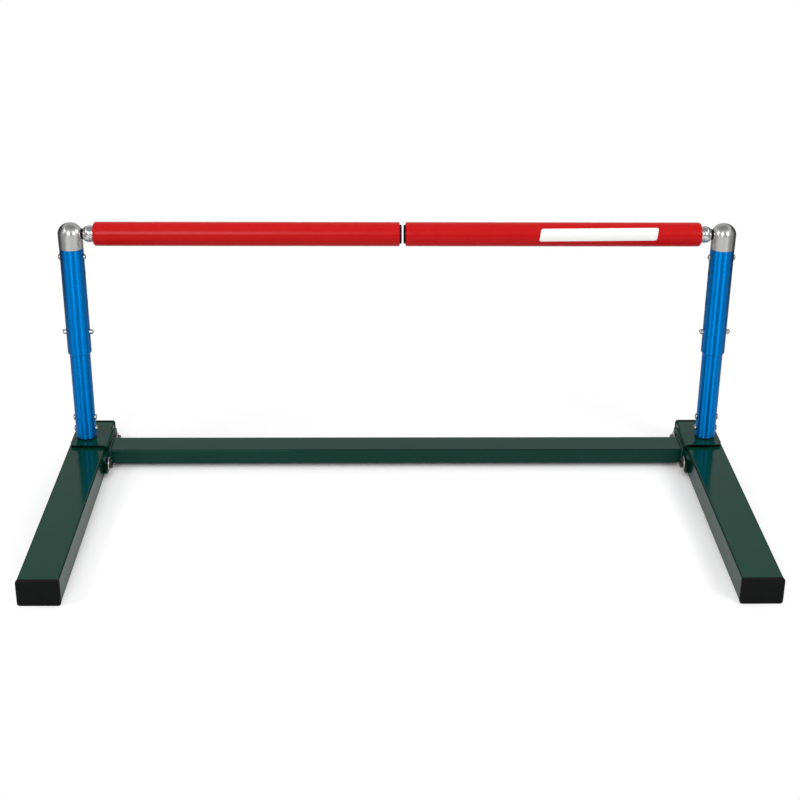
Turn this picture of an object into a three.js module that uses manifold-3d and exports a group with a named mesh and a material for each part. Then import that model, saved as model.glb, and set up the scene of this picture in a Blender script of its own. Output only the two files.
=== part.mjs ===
// A low training hurdle that resets itself. Two steel legs, joined by a crossbar, carry
// telescoping aluminium posts. Each post holds one half of a padded bar on a sprung ball seat.
// Millimetres, +Z up, +X to the right along the bar, the long ends of the legs towards -Y.
// The origin is on the floor, under the middle of the whole hurdle.
import * as THREE from 'three';
import { mergeVertices } from 'three/addons/utils/BufferGeometryUtils.js';
import Module from 'manifold-3d';

// Layout of the whole hurdle. A post stands this far outwards from the middle of its leg.
const POST_SPACING = 1030;
const POST_OFFSET = 5;
const FRONT_REACH = 461;
const REAR_REACH = 74;
const SPLIT_SHIFT = 7;
const SPLIT_GAP = 3;

// Clearances and tools
const SEAT_GAP = 0.3;
const OVERRUN = 4;
const MERGE_DISTANCE = 0.0001;

// Legs, of rectangular steel tube
const LEG_WIDTH = 60;
const LEG_HEIGHT = 40;
const LEG_WALL = 2;
const LEG_CORNER = 4;

// Plastic caps in the ends of the legs
const END_CAP_FLANGE = 5;
const END_CAP_PROUD = 1;
const END_CAP_CORNER = 4.5;
const END_CAP_INSERT = 16;
const END_CAP_WALL = 2.5;

// Crossbar, of rectangular steel tube
const CROSSBAR_DEPTH = 50;
const CROSSBAR_HEIGHT = 25;
const CROSSBAR_WALL = 2;
const CROSSBAR_CORNER = 4;
const CROSSBAR_LIFT = 7;

// Bent brackets that hold the posts on the legs
const PLATE = 5;
const SADDLE_LENGTH = 62;
const SADDLE_SHIFT = -3;
const SADDLE_INSET = 2.5;
const SADDLE_CORNER = 10;
const BEND_OUTER = 8;
const SIDE_PLATE_LENGTH = 126;
const SIDE_PLATE_HEIGHT = 30;
const SIDE_PLATE_LIFT = 4;
const SIDE_PLATE_LOWER_CORNER = 12;
const SIDE_PLATE_UPPER_CORNER = 4;
const WELD_DEPTH = 1;

// Bolts and washers that hold the brackets to nuts welded inside the legs
const BOLT_SPACING = 94;
const BOLT_RADIUS = 4;
const BOLT_HOLE_RADIUS = 4.5;
const BOLT_HEAD_HEIGHT = 5.3;
const BOLT_LENGTH = 18;
const HEX_ACROSS_FLATS = 13;
const NUT_HEIGHT = 6.5;
const WASHER_RADIUS = 12;
const WASHER_THICKNESS = 2;

// Spigots welded on the brackets, inside the posts
const SPIGOT_RADIUS = 14.7;
const SPIGOT_WALL = 3;
const SPIGOT_LENGTH = 65;

// Lower, thinner tubes of the posts
const INNER_POST_RADIUS = 16.5;
const INNER_POST_WALL = 1.5;
const INNER_POST_LENGTH = 199;

// Upper, thicker tubes of the posts. Rises count from the lower end of the same tube.
const OUTER_POST_RADIUS = 19;
const OUTER_POST_WALL = 2;
const LOCK_HOLE_RISE = 36;
const HEIGHT_STEP = 50.8;
const HEIGHT_HOLE_COUNT = 3;
const TOP_HOLE_DROP = 40.4;

// Screws through the posts, into the spigots and the caps
const FOOT_SCREW_RISES = [16, 36];
const CAP_SCREW_DROP = 15;
const SCREW_RADIUS = 2.4;
const SCREW_LENGTH = 10;
const SCREW_HEAD_RADIUS = 5;
const SCREW_HEAD_HEIGHT = 3;
const SCREW_HEAD_EDGE = 0.8;

// Snap buttons that lock the height, and the bent spring behind each pair
const BUTTON_RISE = 187.5;
const BUTTON_RADIUS = 4.2;
const BUTTON_FLANGE_RADIUS = 5.2;
const BUTTON_FLANGE = 1.4;
const BUTTON_PROUD = 6;
const BUTTON_DOME = 2.6;
const CLIP_STRIP = 0.8;
const CLIP_WIDTH = 7;
const CLIP_TOE = 5;
const CLIP_BEND_HALF = 3;
const CLIP_REACH = 35;

// Domed caps on the posts
const CAP_RADIUS = 20;
const CAP_WALL = 2;
const CAP_SIDE_HEIGHT = 23;
const CAP_SPIGOT_LENGTH = 26;
const CAP_STEP = 4;

// Ball seat between a post cap and a half of the bar
const PIVOT_REACH = 31;
const DOME_RADIUS = 13.5;
const MOUTH_RADIUS = 4.5;
const CAVITY_RADIUS = 8;
const FITTING_WAIST = 4;
const FITTING_BODY = 8;
const FITTING_SHANK = 25;
const RING_RADIUS = 8.5;
const RING_BORE = 3;
const RING_FLANGE_RADIUS = 10.5;
const RING_FLANGE = 2;
const RING_FLANGE_GAP = 0.8;

// Tether from the post cap to the swivel, and the swivel with its fork and pin
const TETHER_RADIUS = 1.25;
const TETHER_STOP_RADIUS = 4.2;
const TETHER_STOP_LENGTH = 5.5;
const FERRULE_RADIUS = 2.3;
const FERRULE_LENGTH = 2.4;
const SWIVEL_RADIUS = 7.5;
const SWIVEL_SLOT = 3.6;
const SWIVEL_SLOT_BACK = 3.2;
const SWIVEL_PIN_RADIUS = 1.2;
const SWIVEL_PIN_LENGTH = 12;

// Spring in the bar, with an eye at each end
const EYE_RADIUS = 2.9;
const EYE_THICKNESS = 3;
const SPRING_ROD_RADIUS = 1.2;
const SPRING_RADIUS = 8;
const SPRING_WALL = 1.4;
const SPRING_START = 34;
const SPRING_LENGTH = 126;
const SPRING_PIN_PLACE = 176;
const SPRING_PIN_RADIUS = 2;
const SPRING_PIN_EYE_RADIUS = 4;

// Halves of the bar: a core tube, a foam sleeve and a plug at the split
const CORE_RADIUS = 13.5;
const CORE_WALL = 2;
const SLEEVE_RADIUS = 19;
const SLEEVE_SETBACK = 5.5;
const SLEEVE_OUTER_END = 5;
const SLEEVE_INNER_END_LENGTH = 2;
const SLEEVE_INNER_END_DEPTH = 4;
const PLUG_RADIUS = 15;
const PLUG_FLANGE = 2.8;
const PLUG_CHAMFER = 1.5;
const PLUG_SHANK = 22;
const PLUG_RECESS_RADIUS = 8;

// Numbers of sides of the round pieces
const TUBE_SIDES = 24;
const HOLE_SIDES = 12;
const SMALL_SIDES = 8;
const CORNER_STEPS = 3;
const DOME_STEPS = 5;

// Places worked out from the sizes above
const POST_X = POST_SPACING / 2;
const LEG_X = POST_X - POST_OFFSET;
const POST_Y = (FRONT_REACH - REAR_REACH) / 2;
const LEG_LENGTH = FRONT_REACH + REAR_REACH - 2 * END_CAP_FLANGE;
const LEG_INNER_X = LEG_X - LEG_WIDTH / 2;
const FOOT_HEIGHT = LEG_HEIGHT + PLATE;
const SADDLE_Y = POST_Y + SADDLE_SHIFT;
const BOLT_HEIGHT = SIDE_PLATE_LIFT + SIDE_PLATE_HEIGHT / 2;
const BUTTON_HEIGHT = FOOT_HEIGHT + BUTTON_RISE;
const TOP_HOLE_RISE = LOCK_HOLE_RISE + (HEIGHT_HOLE_COUNT - 1) * HEIGHT_STEP;
const OUTER_POST_LENGTH = TOP_HOLE_RISE + TOP_HOLE_DROP;
const OUTER_POST_FOOT = BUTTON_HEIGHT - LOCK_HOLE_RISE;
const OUTER_POST_TOP = OUTER_POST_FOOT + OUTER_POST_LENGTH;
const CAP_SCREW_HEIGHT = OUTER_POST_TOP - CAP_SCREW_DROP;
const BAR_HEIGHT = OUTER_POST_TOP + CAP_SIDE_HEIGHT;
const PIVOT_X = POST_X - PIVOT_REACH;
const SPIGOT_BORE = SPIGOT_RADIUS - SPIGOT_WALL;
const INNER_POST_BORE = INNER_POST_RADIUS - INNER_POST_WALL;
const OUTER_POST_BORE = OUTER_POST_RADIUS - OUTER_POST_WALL;
const SCREW_HOLE_RADIUS = SCREW_RADIUS + SEAT_GAP;
const BUTTON_HOLE_RADIUS = BUTTON_RADIUS + SEAT_GAP;
const CAP_HOLLOW_RADIUS = CAP_RADIUS - CAP_WALL;
const CAP_SPIGOT_RADIUS = OUTER_POST_BORE - SEAT_GAP;
const CAP_SPIGOT_BORE = CAP_SPIGOT_RADIUS - CAP_WALL;
const CORE_BORE = CORE_RADIUS - CORE_WALL;
const SHANK_RADIUS = CORE_BORE - SEAT_GAP;

const wasm = await Module();
wasm.setup();

// A material of its own for one piece.
function finish(colour, roughness, metalness) {
  return new THREE.MeshStandardMaterial({ color: colour, roughness, metalness });
}

const FINISHES = {
  greenPaint: () => finish('#2f4740', 0.28, 0.15),
  blueAnodised: () => finish('#0a70c8', 0.3, 0.8),
  steel: () => finish('#b9bcc0', 0.3, 0.9),
  springSteel: () => finish('#8d9094', 0.4, 0.9),
  zinc: () => finish('#c4c6c4', 0.35, 0.9),
  blackPlastic: () => finish('#1b1c1e', 0.5, 0),
  redFoam: () => finish('#c8141a', 0.55, 0),
  tubeAluminium: () => finish('#c9ccd0', 0.4, 0.9),
};

// Swaps two corners of every triangle, which turns a surface inside out.
function turnOver(geometry) {
  const position = geometry.getAttribute('position');
  const second = new THREE.Vector3();
  const third = new THREE.Vector3();
  for (let i = 0; i < position.count; i += 3) {
    second.fromBufferAttribute(position, i + 1);
    third.fromBufferAttribute(position, i + 2);
    position.setXYZ(i + 1, third.x, third.y, third.z);
    position.setXYZ(i + 2, second.x, second.y, second.z);
  }
}

// Six times the volume inside a closed surface, negative where it faces in.
function signedVolume(geometry) {
  const position = geometry.getAttribute('position');
  const corners = [new THREE.Vector3(), new THREE.Vector3(), new THREE.Vector3()];
  let total = 0;
  for (let i = 0; i < position.count; i += 3) {
    corners.forEach((corner, k) => corner.fromBufferAttribute(position, i + k));
    total += corners[0].dot(corners[1].cross(corners[2]));
  }
  return total;
}

// A plain copy of a closed surface, with its faces pointing out.
function facingOut(geometry) {
  const plain = new THREE.BufferGeometry();
  const loose = geometry.index ? geometry.toNonIndexed() : geometry;
  plain.setAttribute('position', loose.getAttribute('position').clone());
  if (signedVolume(plain) < 0) turnOver(plain);
  plain.computeVertexNormals();
  return plain;
}

// The triangles of an indexed surface that still have three different corners.
function fullTriangles(index) {
  const kept = [];
  for (let i = 0; i < index.length; i += 3) {
    const [a, b, c] = [index[i], index[i + 1], index[i + 2]];
    if (a !== b && b !== c && c !== a) kept.push(a, b, c);
  }
  return new Uint32Array(kept);
}

function toManifold(geometry) {
  const bare = facingOut(geometry);
  bare.deleteAttribute('normal');
  const merged = mergeVertices(bare, MERGE_DISTANCE);
  return new wasm.Manifold(new wasm.Mesh({
    numProp: 3,
    vertProperties: new Float32Array(merged.getAttribute('position').array),
    triVerts: fullTriangles(merged.index.array),
  }));
}

function fromManifold(solid) {
  const mesh = solid.getMesh();
  const indexed = new THREE.BufferGeometry();
  indexed.setAttribute('position', new THREE.BufferAttribute(new Float32Array(mesh.vertProperties), 3));
  indexed.setIndex(new THREE.BufferAttribute(new Uint32Array(mesh.triVerts), 1));
  return facingOut(indexed);
}

function join(...geometries) {
  const solids = geometries.map(toManifold);
  return fromManifold(solids.reduce((whole, next) => whole.add(next)));
}

function cut(geometry, ...tools) {
  const solids = tools.map(toManifold);
  return fromManifold(solids.reduce((whole, tool) => whole.subtract(tool), toManifold(geometry)));
}

function common(first, second) {
  return fromManifold(toManifold(first).intersect(toManifold(second)));
}

// The same shape seen in a mirror that stands across the bar.
function mirrored(geometry) {
  return facingOut(geometry.clone().scale(-1, 1, 1));
}

function moved(geometry, x, y, z) {
  return geometry.clone().translate(x, y, z);
}

// A solid turned about Z from a closed outline of [radius, height] points.
function turned(outline, sides = TUBE_SIDES) {
  const points = outline.map(([radius, height]) => new THREE.Vector2(radius, height));
  const first = outline[0];
  const last = outline[outline.length - 1];
  if (first[0] !== 0 || last[0] !== 0) points.push(points[0].clone());
  return facingOut(new THREE.LatheGeometry(points, sides).rotateX(Math.PI / 2));
}

// The same, turned about X, with the outline's heights running along +X.
function turnedAlongX(outline, sides = TUBE_SIDES) {
  return turned(outline, sides).rotateZ(-Math.PI / 2).rotateY(Math.PI / 2);
}

function rod(radius, length, sides = HOLE_SIDES) {
  return turned([[0, 0], [radius, 0], [radius, length], [0, length]], sides);
}

function rodAlongX(radius, start, end, sides = HOLE_SIDES) {
  return turnedAlongX([[0, start], [radius, start], [radius, end], [0, end]], sides);
}

function rodAlongY(radius, length, sides = HOLE_SIDES) {
  return moved(rod(radius, length, sides).rotateX(Math.PI / 2), 0, length / 2, 0);
}

function pipe(radius, bore, length, sides = TUBE_SIDES) {
  return turned([[bore, 0], [radius, 0], [radius, length], [bore, length]], sides);
}

// An outline with round corners, centred on the origin. The radii go round from the lower left.
function roundedOutline(path, width, height, radii) {
  const signs = [[-1, -1], [1, -1], [1, 1], [-1, 1]];
  signs.forEach(([right, up], i) => {
    const radius = radii[i];
    const x = right * (width / 2 - radius);
    const y = up * (height / 2 - radius);
    const start = Math.PI + (i * Math.PI) / 2;
    if (i === 0) path.moveTo(x + radius * Math.cos(start), y + radius * Math.sin(start));
    else path.lineTo(x + radius * Math.cos(start), y + radius * Math.sin(start));
    if (radius > 0) path.absarc(x, y, radius, start, start + Math.PI / 2);
  });
  return path;
}

function evenCorners(radius) {
  return [radius, radius, radius, radius];
}

function prism(shape, depth) {
  const options = { depth, bevelEnabled: false, curveSegments: CORNER_STEPS };
  return facingOut(new THREE.ExtrudeGeometry(shape, options));
}

// A rectangular tube with round corners, standing on its end.
function boxTube(width, height, wall, corner, length) {
  const shape = roundedOutline(new THREE.Shape(), width, height, evenCorners(corner));
  const bore = evenCorners(Math.max(corner - wall, wall / 2));
  shape.holes.push(roundedOutline(new THREE.Path(), width - 2 * wall, height - 2 * wall, bore));
  return prism(shape, length);
}

// Lays a prism down so that its depth runs along +Y and its outline's height stays up.
function laidAlongY(geometry, length) {
  return moved(geometry.clone().rotateX(Math.PI / 2), 0, length / 2, 0);
}

// Lays a prism down so that its depth runs along +X, its outline's width along Y.
function laidAlongX(geometry) {
  return geometry.clone().rotateX(Math.PI / 2).rotateZ(Math.PI / 2);
}

function hexPrism(height) {
  const radius = HEX_ACROSS_FLATS / Math.sqrt(3);
  return turnedAlongX([[0, 0], [radius, 0], [radius, height], [0, height]], 6);
}

function piece(name, geometry, material, x = 0, y = 0, z = 0) {
  const mesh = new THREE.Mesh(facingOut(geometry), material);
  mesh.name = name;
  mesh.position.set(x, y, z);
  return mesh;
}

// Base: crossbar, legs with their end caps, brackets and bolts. On the left side +X leads inwards.

function makeCrossbar() {
  const reach = LEG_INNER_X - PLATE;
  const tube = boxTube(CROSSBAR_DEPTH, CROSSBAR_HEIGHT, CROSSBAR_WALL, CROSSBAR_CORNER, 2 * reach);
  return moved(laidAlongX(tube), -reach, 0, CROSSBAR_LIFT + CROSSBAR_HEIGHT / 2);
}

// Copies a fastener or its hole to the two bolt places of a bracket, around a middle along Y.
function atBolts(geometry, middle) {
  const reach = BOLT_SPACING / 2;
  return [-reach, reach].map((place) => moved(geometry, 0, middle + place, BOLT_HEIGHT));
}

function boltHoles(start, end, middle) {
  return atBolts(rodAlongX(BOLT_HOLE_RADIUS, start - OVERRUN, end + OVERRUN), middle);
}

// A leg with two nuts welded inside, behind its bolt holes.
function makeLeg() {
  const face = LEG_WIDTH / 2;
  const wall = face - LEG_WALL;
  const tube = boxTube(LEG_WIDTH, LEG_HEIGHT, LEG_WALL, LEG_CORNER, LEG_LENGTH);
  const laid = moved(laidAlongY(tube, LEG_LENGTH), 0, 0, LEG_HEIGHT / 2);
  const nut = moved(hexPrism(NUT_HEIGHT + WELD_DEPTH), wall - NUT_HEIGHT, 0, 0);
  const welded = join(laid, ...atBolts(nut, SADDLE_Y));
  return cut(welded, ...boltHoles(wall - NUT_HEIGHT, face, SADDLE_Y));
}

// An end cap that stands on its flange's outer face, with its insert below.
function uprightEndCap() {
  const width = LEG_WIDTH + 2 * END_CAP_PROUD;
  const height = LEG_HEIGHT + END_CAP_PROUD;
  const outline = roundedOutline(new THREE.Shape(), width, height, evenCorners(END_CAP_CORNER));
  const flange = moved(prism(outline, END_CAP_FLANGE), 0, END_CAP_PROUD / 2, 0);
  const clearance = 2 * (LEG_WALL + SEAT_GAP);
  const depth = END_CAP_INSERT + END_CAP_FLANGE / 2;
  const insert = boxTube(
    LEG_WIDTH - clearance, LEG_HEIGHT - clearance, END_CAP_WALL, END_CAP_WALL, depth,
  );
  return join(flange, moved(insert, 0, 0, -END_CAP_INSERT));
}

function makeRearEndCap() {
  const laid = uprightEndCap().rotateX(Math.PI / 2).rotateZ(Math.PI);
  return moved(laid, 0, LEG_LENGTH / 2, LEG_HEIGHT / 2);
}

function makeFrontEndCap() {
  return facingOut(makeRearEndCap().scale(1, -1, 1));
}

// The bend of a bracket's plate, seen from the front, from over the leg down its inner side.
function bentOutline() {
  const inner = BEND_OUTER - PLATE;
  const face = LEG_WIDTH / 2;
  const edge = SADDLE_INSET - face;
  const outline = new THREE.Shape();
  outline.moveTo(edge, LEG_HEIGHT);
  outline.lineTo(face - inner, LEG_HEIGHT);
  outline.absarc(face - inner, LEG_HEIGHT - inner, inner, Math.PI / 2, 0, true);
  outline.lineTo(face, BOLT_HEIGHT);
  outline.lineTo(face + PLATE, BOLT_HEIGHT);
  outline.lineTo(face + PLATE, FOOT_HEIGHT - BEND_OUTER);
  outline.absarc(face + PLATE - BEND_OUTER, FOOT_HEIGHT - BEND_OUTER, BEND_OUTER, 0, Math.PI / 2);
  outline.lineTo(edge, FOOT_HEIGHT);
  return outline;
}

// The saddle seen from above, with round corners at the leg's outer edge.
function saddlePlan() {
  const width = LEG_WIDTH + PLATE - SADDLE_INSET + OVERRUN;
  const radii = [SADDLE_CORNER, 0, 0, SADDLE_CORNER];
  const outline = roundedOutline(new THREE.Shape(), width, SADDLE_LENGTH, radii);
  const plan = prism(outline, FOOT_HEIGHT + OVERRUN);
  return moved(plan, SADDLE_INSET + (width - LEG_WIDTH) / 2, 0, 0);
}

// The plate that lies against the leg's inner side and takes the bolts.
function sidePlate() {
  const low = SIDE_PLATE_LOWER_CORNER;
  const high = SIDE_PLATE_UPPER_CORNER;
  const radii = [low, low, high, high];
  const outline = roundedOutline(new THREE.Shape(), SIDE_PLATE_LENGTH, SIDE_PLATE_HEIGHT, radii);
  return moved(laidAlongX(prism(outline, PLATE)), LEG_WIDTH / 2, 0, BOLT_HEIGHT);
}

// A bracket with its spigot welded on. Y counts from the bracket's middle.
function makeSaddle() {
  const face = LEG_WIDTH / 2;
  const bent = laidAlongY(prism(bentOutline(), SADDLE_LENGTH), SADDLE_LENGTH);
  const tube = pipe(SPIGOT_RADIUS, SPIGOT_BORE, SPIGOT_LENGTH + WELD_DEPTH);
  const rises = FOOT_SCREW_RISES.map((rise) => rise + WELD_DEPTH);
  const drilled = cut(tube, ...crossHoles(rises, SCREW_HOLE_RADIUS, SPIGOT_RADIUS));
  const spigot = moved(drilled, -POST_OFFSET, -SADDLE_SHIFT, FOOT_HEIGHT - WELD_DEPTH);
  const saddle = join(common(bent, saddlePlan()), sidePlate());
  return join(cut(saddle, ...boltHoles(face, face + PLATE, 0)), spigot);
}

// A bolt of the left bracket. X counts from the leg's inner side.
function makeBolt() {
  const seat = PLATE + WASHER_THICKNESS;
  const head = moved(hexPrism(BOLT_HEAD_HEIGHT), seat, 0, 0);
  const shankEnd = seat + BOLT_HEAD_HEIGHT / 2;
  return join(head, rodAlongX(BOLT_RADIUS, seat - BOLT_LENGTH, shankEnd, SMALL_SIDES));
}

function makeWasher() {
  return turnedAlongX([
    [BOLT_HOLE_RADIUS, PLATE],
    [WASHER_RADIUS, PLATE],
    [WASHER_RADIUS, PLATE + WASHER_THICKNESS],
    [BOLT_HOLE_RADIUS, PLATE + WASHER_THICKNESS],
  ], TUBE_SIDES);
}

// Posts, with their axis on Z

// Holes along X through both walls of a tube, at some heights.
function crossHoles(heights, radius, reach) {
  const hole = rodAlongX(radius, -reach - OVERRUN, reach + OVERRUN, HOLE_SIDES);
  return heights.map((height) => moved(hole, 0, 0, height));
}

function makeInnerPost() {
  const tube = pipe(INNER_POST_RADIUS, INNER_POST_BORE, INNER_POST_LENGTH);
  const screwHoles = crossHoles(FOOT_SCREW_RISES, SCREW_HOLE_RADIUS, INNER_POST_RADIUS);
  const buttonHoles = crossHoles([BUTTON_RISE], BUTTON_HOLE_RADIUS, INNER_POST_RADIUS);
  return cut(tube, ...screwHoles, ...buttonHoles);
}

function makeOuterPost() {
  const tube = pipe(OUTER_POST_RADIUS, OUTER_POST_BORE, OUTER_POST_LENGTH);
  const rises = [];
  for (let i = 0; i < HEIGHT_HOLE_COUNT; i += 1) rises.push(LOCK_HOLE_RISE + i * HEIGHT_STEP);
  const screwRises = [OUTER_POST_LENGTH - CAP_SCREW_DROP];
  const screwHoles = crossHoles(screwRises, SCREW_HOLE_RADIUS, OUTER_POST_RADIUS);
  return cut(tube, ...screwHoles, ...crossHoles(rises, BUTTON_HOLE_RADIUS, OUTER_POST_RADIUS));
}

// Points of a quarter circle from the widest point nearly to the top.
function domeOutline(radius) {
  const points = [];
  for (let i = 0; i < DOME_STEPS; i += 1) {
    const angle = (i / DOME_STEPS) * (Math.PI / 2);
    points.push([radius * Math.cos(angle), radius * Math.sin(angle)]);
  }
  return points;
}

// The hollow of a cap, down through its spigot. Heights count from the bar's axis.
function capHollow() {
  const ledge = CAP_STEP - CAP_SIDE_HEIGHT;
  const foot = -CAP_SIDE_HEIGHT - CAP_SPIGOT_LENGTH - OVERRUN;
  return turned([
    [0, foot],
    [CAP_SPIGOT_BORE, foot],
    [CAP_SPIGOT_BORE, ledge],
    [CAP_HOLLOW_RADIUS, ledge + CAP_WALL],
    ...domeOutline(CAP_HOLLOW_RADIUS),
    [0, CAP_HOLLOW_RADIUS],
  ]);
}

// A cap for the left post, with a hole for the seat ring on its +X side.
function makePostCap() {
  const spigotFoot = -CAP_SIDE_HEIGHT - CAP_SPIGOT_LENGTH;
  const outside = turned([
    [0, spigotFoot],
    [CAP_SPIGOT_RADIUS, spigotFoot],
    [CAP_SPIGOT_RADIUS, -CAP_SIDE_HEIGHT],
    [CAP_RADIUS, -CAP_SIDE_HEIGHT],
    ...domeOutline(CAP_RADIUS),
    [0, CAP_RADIUS],
  ]);
  const ringHole = rodAlongX(RING_RADIUS + SEAT_GAP, 0, CAP_RADIUS + OVERRUN, TUBE_SIDES);
  const screwPlace = [CAP_SCREW_HEIGHT - BAR_HEIGHT];
  const screwHoles = crossHoles(screwPlace, SCREW_HOLE_RADIUS, CAP_SPIGOT_RADIUS);
  return cut(outside, capHollow(), ringHole, ...screwHoles);
}

// A screw with a domed head, on the +X side of a post with this radius.
function makeScrew(postRadius) {
  const top = postRadius + SCREW_HEAD_HEIGHT;
  return turnedAlongX([
    [0, postRadius - SCREW_LENGTH],
    [SCREW_RADIUS, postRadius - SCREW_LENGTH],
    [SCREW_RADIUS, postRadius],
    [SCREW_HEAD_RADIUS, postRadius],
    [SCREW_HEAD_RADIUS, postRadius + SCREW_HEAD_EDGE],
    [SCREW_HEAD_RADIUS - SCREW_HEAD_EDGE, (postRadius + SCREW_HEAD_EDGE + top) / 2],
    [SCREW_HEAD_RADIUS / 2, top],
    [0, top],
  ], HOLE_SIDES);
}

// Where a button's flange lies against the inner post's bore, and the strip behind it.
function buttonStack() {
  const chord = INNER_POST_BORE ** 2 - BUTTON_FLANGE_RADIUS ** 2;
  const flangeOuter = Math.sqrt(chord) - SEAT_GAP;
  const flangeInner = flangeOuter - BUTTON_FLANGE;
  return { flangeOuter, flangeInner, strip: flangeInner - SEAT_GAP };
}

// A snap button on the +X side of a post.
function makeButton() {
  const { flangeOuter, flangeInner } = buttonStack();
  const shoulder = OUTER_POST_RADIUS + BUTTON_PROUD - BUTTON_DOME;
  const outline = [
    [0, flangeInner],
    [BUTTON_FLANGE_RADIUS, flangeInner],
    [BUTTON_FLANGE_RADIUS, flangeOuter],
    [BUTTON_RADIUS, flangeOuter],
  ];
  for (let i = 0; i <= CORNER_STEPS; i += 1) {
    const angle = (i / CORNER_STEPS) * (Math.PI / 2);
    const radius = BUTTON_RADIUS * Math.cos(angle);
    outline.push([i < CORNER_STEPS ? radius : 0, shoulder + BUTTON_DOME * Math.sin(angle)]);
  }
  return turnedAlongX(outline, HOLE_SIDES);
}

// A strip bent into a V, with its bend below the two buttons that it pushes out.
function makeClip() {
  const { strip } = buttonStack();
  const inner = strip - CLIP_STRIP;
  const bend = CLIP_BEND_HALF;
  const outline = new THREE.Shape();
  outline.moveTo(strip, CLIP_TOE);
  outline.lineTo(inner, CLIP_TOE);
  outline.lineTo(inner, -CLIP_TOE);
  outline.lineTo(bend, CLIP_STRIP - CLIP_REACH);
  outline.lineTo(-bend, CLIP_STRIP - CLIP_REACH);
  outline.lineTo(-inner, -CLIP_TOE);
  outline.lineTo(-inner, CLIP_TOE);
  outline.lineTo(-strip, CLIP_TOE);
  outline.lineTo(-strip, -CLIP_TOE);
  outline.lineTo(-bend - CLIP_STRIP, -CLIP_REACH);
  outline.lineTo(bend + CLIP_STRIP, -CLIP_REACH);
  outline.lineTo(strip, -CLIP_TOE);
  return laidAlongY(prism(outline, CLIP_WIDTH), CLIP_WIDTH);
}

// Ball seat of the left half of the bar. X counts from the pivot, and +X leads into the bar.

// Points of an arc about the pivot on the post's side, from one distance off the axis to another.
function arcOutline(radius, from, to, steps) {
  const points = [];
  const start = Math.asin(from / radius);
  const end = Math.asin(to / radius);
  for (let i = 0; i <= steps; i += 1) {
    const angle = start + (i / steps) * (end - start);
    points.push([radius * Math.sin(angle), -radius * Math.cos(angle)]);
  }
  return points;
}

// The back of the seat ring's flange, which lies inside the cap, and its front.
function ringPlaces() {
  const wall = Math.sqrt(CAP_HOLLOW_RADIUS ** 2 - RING_FLANGE_RADIUS ** 2);
  const front = wall - RING_FLANGE_GAP - PIVOT_REACH;
  return { front, back: front - RING_FLANGE };
}

// The black ring in the cap's hole, hollowed in front to seat the dome.
function makeSeatRing() {
  const { front, back } = ringPlaces();
  return turnedAlongX([
    [RING_BORE, back],
    [RING_FLANGE_RADIUS, back],
    [RING_FLANGE_RADIUS, front],
    [RING_RADIUS, front],
    ...arcOutline(DOME_RADIUS + SEAT_GAP, RING_RADIUS, RING_BORE, CORNER_STEPS),
  ], TUBE_SIDES);
}

// A wire with a stop behind the ring and a ferrule in the swivel.
function makeTether() {
  const stopEnd = ringPlaces().back - SEAT_GAP;
  const ferruleEnd = -SWIVEL_SLOT_BACK - SEAT_GAP;
  const ferruleStart = ferruleEnd - FERRULE_LENGTH;
  return turnedAlongX([
    [0, stopEnd - TETHER_STOP_LENGTH],
    [TETHER_STOP_RADIUS, stopEnd - TETHER_STOP_LENGTH],
    [TETHER_STOP_RADIUS, stopEnd],
    [TETHER_RADIUS, stopEnd],
    [TETHER_RADIUS, ferruleStart],
    [FERRULE_RADIUS, ferruleStart],
    [FERRULE_RADIUS, ferruleEnd],
    [0, ferruleEnd],
  ], SMALL_SIDES);
}

// A ball with a socket for the tether's ferrule, and a fork with a pin for the spring's eye.
function makeSwivel() {
  const ball = new THREE.SphereGeometry(SWIVEL_RADIUS, HOLE_SIDES, HOLE_SIDES / 2);
  const socketStart = -SWIVEL_SLOT_BACK - FERRULE_LENGTH - 2 * SEAT_GAP;
  const wireBore = rodAlongX(TETHER_RADIUS + SEAT_GAP, -SWIVEL_RADIUS - OVERRUN, 0, SMALL_SIDES);
  const socket = rodAlongX(FERRULE_RADIUS + SEAT_GAP, socketStart, 0, SMALL_SIDES);
  const slotEnd = SWIVEL_RADIUS + OVERRUN;
  const slot = new THREE.BoxGeometry(SWIVEL_SLOT_BACK + slotEnd, SWIVEL_SLOT, 2 * slotEnd);
  const placed = moved(slot, (slotEnd - SWIVEL_SLOT_BACK) / 2, 0, 0);
  const pin = rodAlongY(SWIVEL_PIN_RADIUS, SWIVEL_PIN_LENGTH, SMALL_SIDES);
  return join(cut(ball.rotateX(Math.PI / 2), wireBore, socket, placed), pin);
}

// A steel end piece: a dome with a hollow for the swivel, and a shank that fits in the core.
// Past its middle the dome draws in to a waist, which passes the seat ring when the bar turns.
function makeFitting() {
  const waistRadius = Math.sqrt(DOME_RADIUS ** 2 - FITTING_WAIST ** 2);
  return turnedAlongX([
    ...arcOutline(DOME_RADIUS, MOUTH_RADIUS, DOME_RADIUS, DOME_STEPS),
    [waistRadius, FITTING_WAIST],
    [waistRadius, FITTING_BODY],
    [SHANK_RADIUS, FITTING_BODY],
    [SHANK_RADIUS, FITTING_BODY + FITTING_SHANK],
    [CAVITY_RADIUS, FITTING_BODY + FITTING_SHANK],
    ...arcOutline(CAVITY_RADIUS, CAVITY_RADIUS, MOUTH_RADIUS, DOME_STEPS),
  ]);
}

// An eye about Y with a rod along X that runs into it from one place to another.
function eyeAndRod(radius, hole, place, rodStart, rodEnd) {
  const ring = moved(rodAlongY(radius, EYE_THICKNESS, SMALL_SIDES), place, 0, 0);
  const bore = moved(rodAlongY(hole, EYE_THICKNESS + OVERRUN, SMALL_SIDES), place, 0, 0);
  return cut(join(ring, rodAlongX(SPRING_ROD_RADIUS, rodStart, rodEnd, SMALL_SIDES)), bore);
}

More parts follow.
